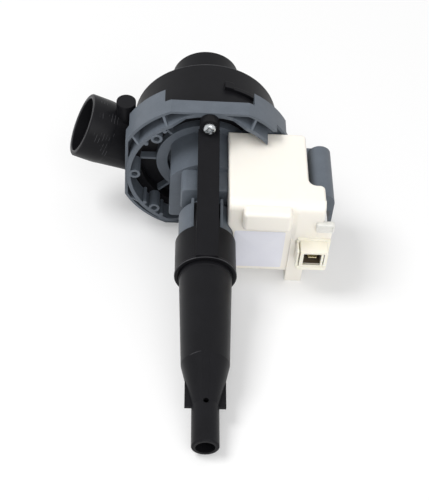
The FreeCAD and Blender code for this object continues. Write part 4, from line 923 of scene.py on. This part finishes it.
class PumpRims(bpy.types.PropertyGroup):
    """Sizes of the rolled lips at the outlet and at the tail's tip, of the casing's weld seam, and of the
    painted highlight on the drum's rear edge.
    """
    outlet_offset: length("Outlet offset", "Distance of the outlet's axis from the pump's axis", 25.2)
    outlet_station: length("Outlet station", "How far the outlet's axis lies behind the flange", 29.55)
    outlet_reach: length("Outlet reach", "From the outlet's root to its mouth", 75.0)
    outlet_radius: length("Outlet radius", "Outer radius at the mouth", MOUNTS["outlet"]["dims"]["r_mm"])
    outlet_bore: length("Outlet bore", "Inner radius at the mouth", 17.6)
    outlet_roll: length("Outlet roll", "Radius of the mouth's outer edge", 1.1)
    sleeve_start: length("Sleeve start", "From the mouth to where the lip's sleeve starts", 17.0)
    tip_depth: length("Tip depth", "Length of the tip's rolled end", 2.4)
    tip_corner: length("Tip corner", "Radius of the tip's rolled end", 0.85)
    drum_rear: length("Drum rear", "How far the casing's back lies behind the flange", 48.5)
    weld_inset: length("Weld inset", "From the drum's edge to the weld bead", 2.1)
    weld_width: length("Weld width", "Width of the weld bead", 1.0)
    weld_rise: length("Weld rise", "How far the weld bead stands out of the casing's back", 0.3)
    rear_highlight_inset: length("Rear highlight inset", "From the drum's edge to the flash line", 0.14)
    rear_highlight_width: length("Rear highlight width", "Width of the flash line", 0.46)
    rear_highlight_depth: length("Rear highlight depth", "How far the flash line reaches into the casing", 0.5)


class PUMP_OT_rims(bpy.types.Operator):
    """Rolled lip at the outlet's mouth, an inner bead with a painted highlight, and the rolled end of the
    tail
    """
    bl_idname = "pump.rims"
    bl_label = "Rims"

    def execute(self, context):
        s = sizes_of(context.scene.pump_rims)
        run = TURN @ OUTLET_RUN
        root = np.cross(run, (0, 0, 1)) * -s.outlet_offset - (0, 0, s.outlet_station)
        # Sleeve: it grows out of the tapering tube, behind the mouth, and rolls over at the mouth
        mouth, outer, inner = s.outlet_reach + HAIR, s.outlet_radius + 0.03, s.outlet_bore + 0.3
        drawn, lift = roll(s.outlet_roll, 6)
        start = s.outlet_reach - s.sleeve_start
        sleeve = np.concatenate((
            ((inner, mouth), (inner, start), (outer - 0.5, start), (outer - 0.33, start + 0.5),
             (outer - 0.1, start + 2.5), (outer, start + 4.4)),
            np.column_stack((outer - drawn, mouth + lift))))
        piece("outlet_lip", [ring(sleeve, root, run)], "black_plastic", finish="scuffed_black")
        bore, reach = s.outlet_bore, s.outlet_reach
        # Inner bead in greyer tones: a painted highlight on the bore's edge at the mouth
        inward, outward, back, ahead, soft = 0.15, 0.7, 0.8, 0.2, 0.35
        worn = bead(bore - inward, bore + outward, reach - back, reach + ahead, soft)
        piece("outlet_bead", [ring(worn, root, run)], "black_plastic", finish="painted_highlight_black")
        tip, inner = span("tail_tube")[1][2], MOUNTS["tail_bore"]["dims"]["r_mm"] + 0.3
        end = bead(inner, TIP_RADIUS, tip - s.tip_depth, tip, s.tip_corner)
        piece("tip_lip", [ring(end, steps=96)], "black_plastic")
        return {"FINISHED"}


class PUMP_OT_weld_and_highlight(bpy.types.Operator):
    """Weld bead where the casing's lid sits in the drum, and a painted highlight along the drum's rear edge
    """
    bl_idname = "pump.seams"
    bl_label = "Seams"

    def execute(self, context):
        s = sizes_of(context.scene.pump_rims)
        radius, rear = span("volute_casing")[1][0], (0, 0, -s.drum_rear)
        outside, soft = radius - s.weld_inset, 0.25
        weld = bead(outside - s.weld_width, outside, -s.weld_rise, s.weld_rise, soft)
        piece("casing_weld", [ring(weld, rear, steps=180)], "black_plastic")
        # Painted highlight: a thin bead in greyer tones that paints the light line along the drum's rear edge
        outside, proud, soft = radius - s.rear_highlight_inset, 0.04, 0.2
        rear_highlight = bead(outside - s.rear_highlight_width, outside, -proud, s.rear_highlight_depth, soft)
        piece("casing_flash", [ring(rear_highlight, rear, steps=180)], "black_plastic", finish="painted_highlight_black")
        return {"FINISHED"}


class PumpTail(bpy.types.PropertyGroup):
    """Sizes of the tail's barrel and cone, and of the marks on them."""
    barrel_start: length("Barrel start", "Where the tail's barrel starts", 87.0)
    shoulder_radius: length("Shoulder radius", "Radius of the barrel where it leaves the collar", 15.4)
    cone_start: length("Cone start", "Where the barrel ends and the cone starts", 146.5)
    barrel_radius: length("Barrel radius", "Radius of the barrel at its end", 13.6)
    cone_end: length("Cone end", "Where the cone ends and the tip starts", 173.6)
    ridge_start: length("Ridge start", "How far behind the cone's start the ridge starts", 1.0)
    ridge_end: length("Ridge end", "How far behind the cone's end the ridge ends", 2.6)
    ridge_width: length("Ridge width", "Width of the low ridge along the cone's top", 3.2)
    ridge_rise: length("Ridge rise", "How far the ridge stands out", 0.3)
    painted_highlight_width: length("Edge highlight width", "Width of the worn spot on the barrel's edge", 0.5)
    hole_radius: length("Hole radius", "Radius of the hole through the tip's top", 1.5)


class PUMP_OT_tail_marks(bpy.types.Operator):
    """Low ridge along the cone's top, the burr round its hole, and a painted highlight on the barrel's edge
    """
    bl_idname = "pump.tail_marks"
    bl_label = "Tail marks"

    def execute(self, context):
        s = sizes_of(context.scene.pump_tail)
        # Ridge: across the top by angle t, it rises and falls as a smooth hump over the cone
        start, end = s.cone_start - s.ridge_start, s.cone_end - s.ridge_end
        z = np.linspace(start, end, 40)[:, None]
        radius = np.interp(z, (s.barrel_start, s.cone_start, s.cone_end),
                           (s.shoulder_radius, s.barrel_radius, TIP_RADIUS))
        across = np.linspace(-0.5, 0.5, 15)
        flank, rising, falling, sunk = 0.18, 2.0, 3.0, 0.5
        hump = smooth((0.5 - abs(across)) / flank) * smooth((z - start) / rising)
        hump = hump * smooth((end - z) / falling)
        t = np.append(across, (0.5, -0.5)) * s.ridge_width / radius
        root = np.full((len(z), 1), -sunk)
        out = radius + np.hstack((s.ridge_rise * hump - HAIR, root, root))
        ridge = np.stack((out * np.sin(t), out * np.cos(t), z + 0 * out), -1)
        # Burr: a small ring round the hole, on the cone's surface
        wide, sunk, proud, soft = 0.35, 0.4, 0.18, 0.15
        burr = bead(s.hole_radius, s.hole_radius + wide, -sunk, proud, soft)
        hole_at = (0, TIP_RADIUS, s.cone_end - 0.1)
        piece("cone_ridge", [skin(ridge), ring(burr, hole_at, (0, 1, 0), 32)], "black_plastic")
        # Painted highlight: a thin round strip in greyer tones along the edge between barrel and cone, from
        # 43 to 12 degrees left of the top, thinned at its ends by the root of a circle
        first, last, ahead, drift, flat_share, least = -43, -12, 0.3, 0.9, 0.35, 0.02
        run = np.linspace(0, 1, 24)[:, None]
        turn, z = np.radians(first + (last - first) * run), s.cone_start + ahead - drift * smooth(run)
        grow = s.painted_highlight_width / 2 * np.sqrt(np.clip(1 - (2 * run - 1) ** 2, least, 1))
        a = np.arange(8) * math.pi / 4
        out = s.barrel_radius + flat_share * grow * np.sin(a)
        strip = np.stack((out * np.sin(turn), out * np.cos(turn), z + grow * np.cos(a)), -1)
        piece("worn_edge", [skin(strip)], "black_plastic", finish="painted_highlight_black")
        return {"FINISHED"}


class PUMP_PT_panel(bpy.types.Panel):
    """Lists the pump's operators and sizes"""
    bl_idname = "PUMP_PT_panel"
    bl_label = "Circulation pump"
    bl_space_type = "VIEW_3D"
    bl_region_type = "UI"
    bl_category = "Pump"

    def draw(self, context):
        for name in STEPS:
            self.layout.operator("pump." + name)
        for name, group in GROUPS.items():
            for size in group.__annotations__:
                self.layout.prop(getattr(context.scene, name), size)


GROUPS = {"pump_house": PumpHouse, "pump_cover": PumpCover, "pump_terminals": PumpTerminals,
          "pump_retainer": PumpRetainer, "pump_rims": PumpRims, "pump_tail": PumpTail,
          "pump_colours": PumpColours, "pump_stage": PumpStage}
STEPS = ("finishes", "skirt", "saddle", "boss_lips", "column", "label", "socket_collar", "blades", "cap",
         "collar_rim", "screw", "rims", "tail_marks", "seams", "stage")
CLASSES = (*GROUPS.values(), PUMP_OT_finishes, PUMP_OT_shade_lining, PUMP_OT_saddle, PUMP_OT_boss_lips,
           PUMP_OT_column, PUMP_OT_label, PUMP_OT_socket_collar, PUMP_OT_blades, PUMP_OT_cap,
           PUMP_OT_collar_rim, PUMP_OT_screw, PUMP_OT_rims, PUMP_OT_weld_and_highlight, PUMP_OT_tail_marks,
           PUMP_OT_stage, PUMP_PT_panel)


def register():
    """Adds the classes and the scene's sizes."""
    for item in CLASSES:
        bpy.utils.register_class(item)
    for name, group in GROUPS.items():
        setattr(bpy.types.Scene, name, bpy.props.PointerProperty(type=group))


def unregister():
    """Takes them away again."""
    for name in GROUPS:
        delattr(bpy.types.Scene, name)
    for item in reversed(CLASSES):
        bpy.utils.unregister_class(item)


def main():
    """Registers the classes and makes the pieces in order."""
    register()
    for name in STEPS:
        getattr(bpy.ops.pump, name)()


if __name__ == "__main__":
    main()
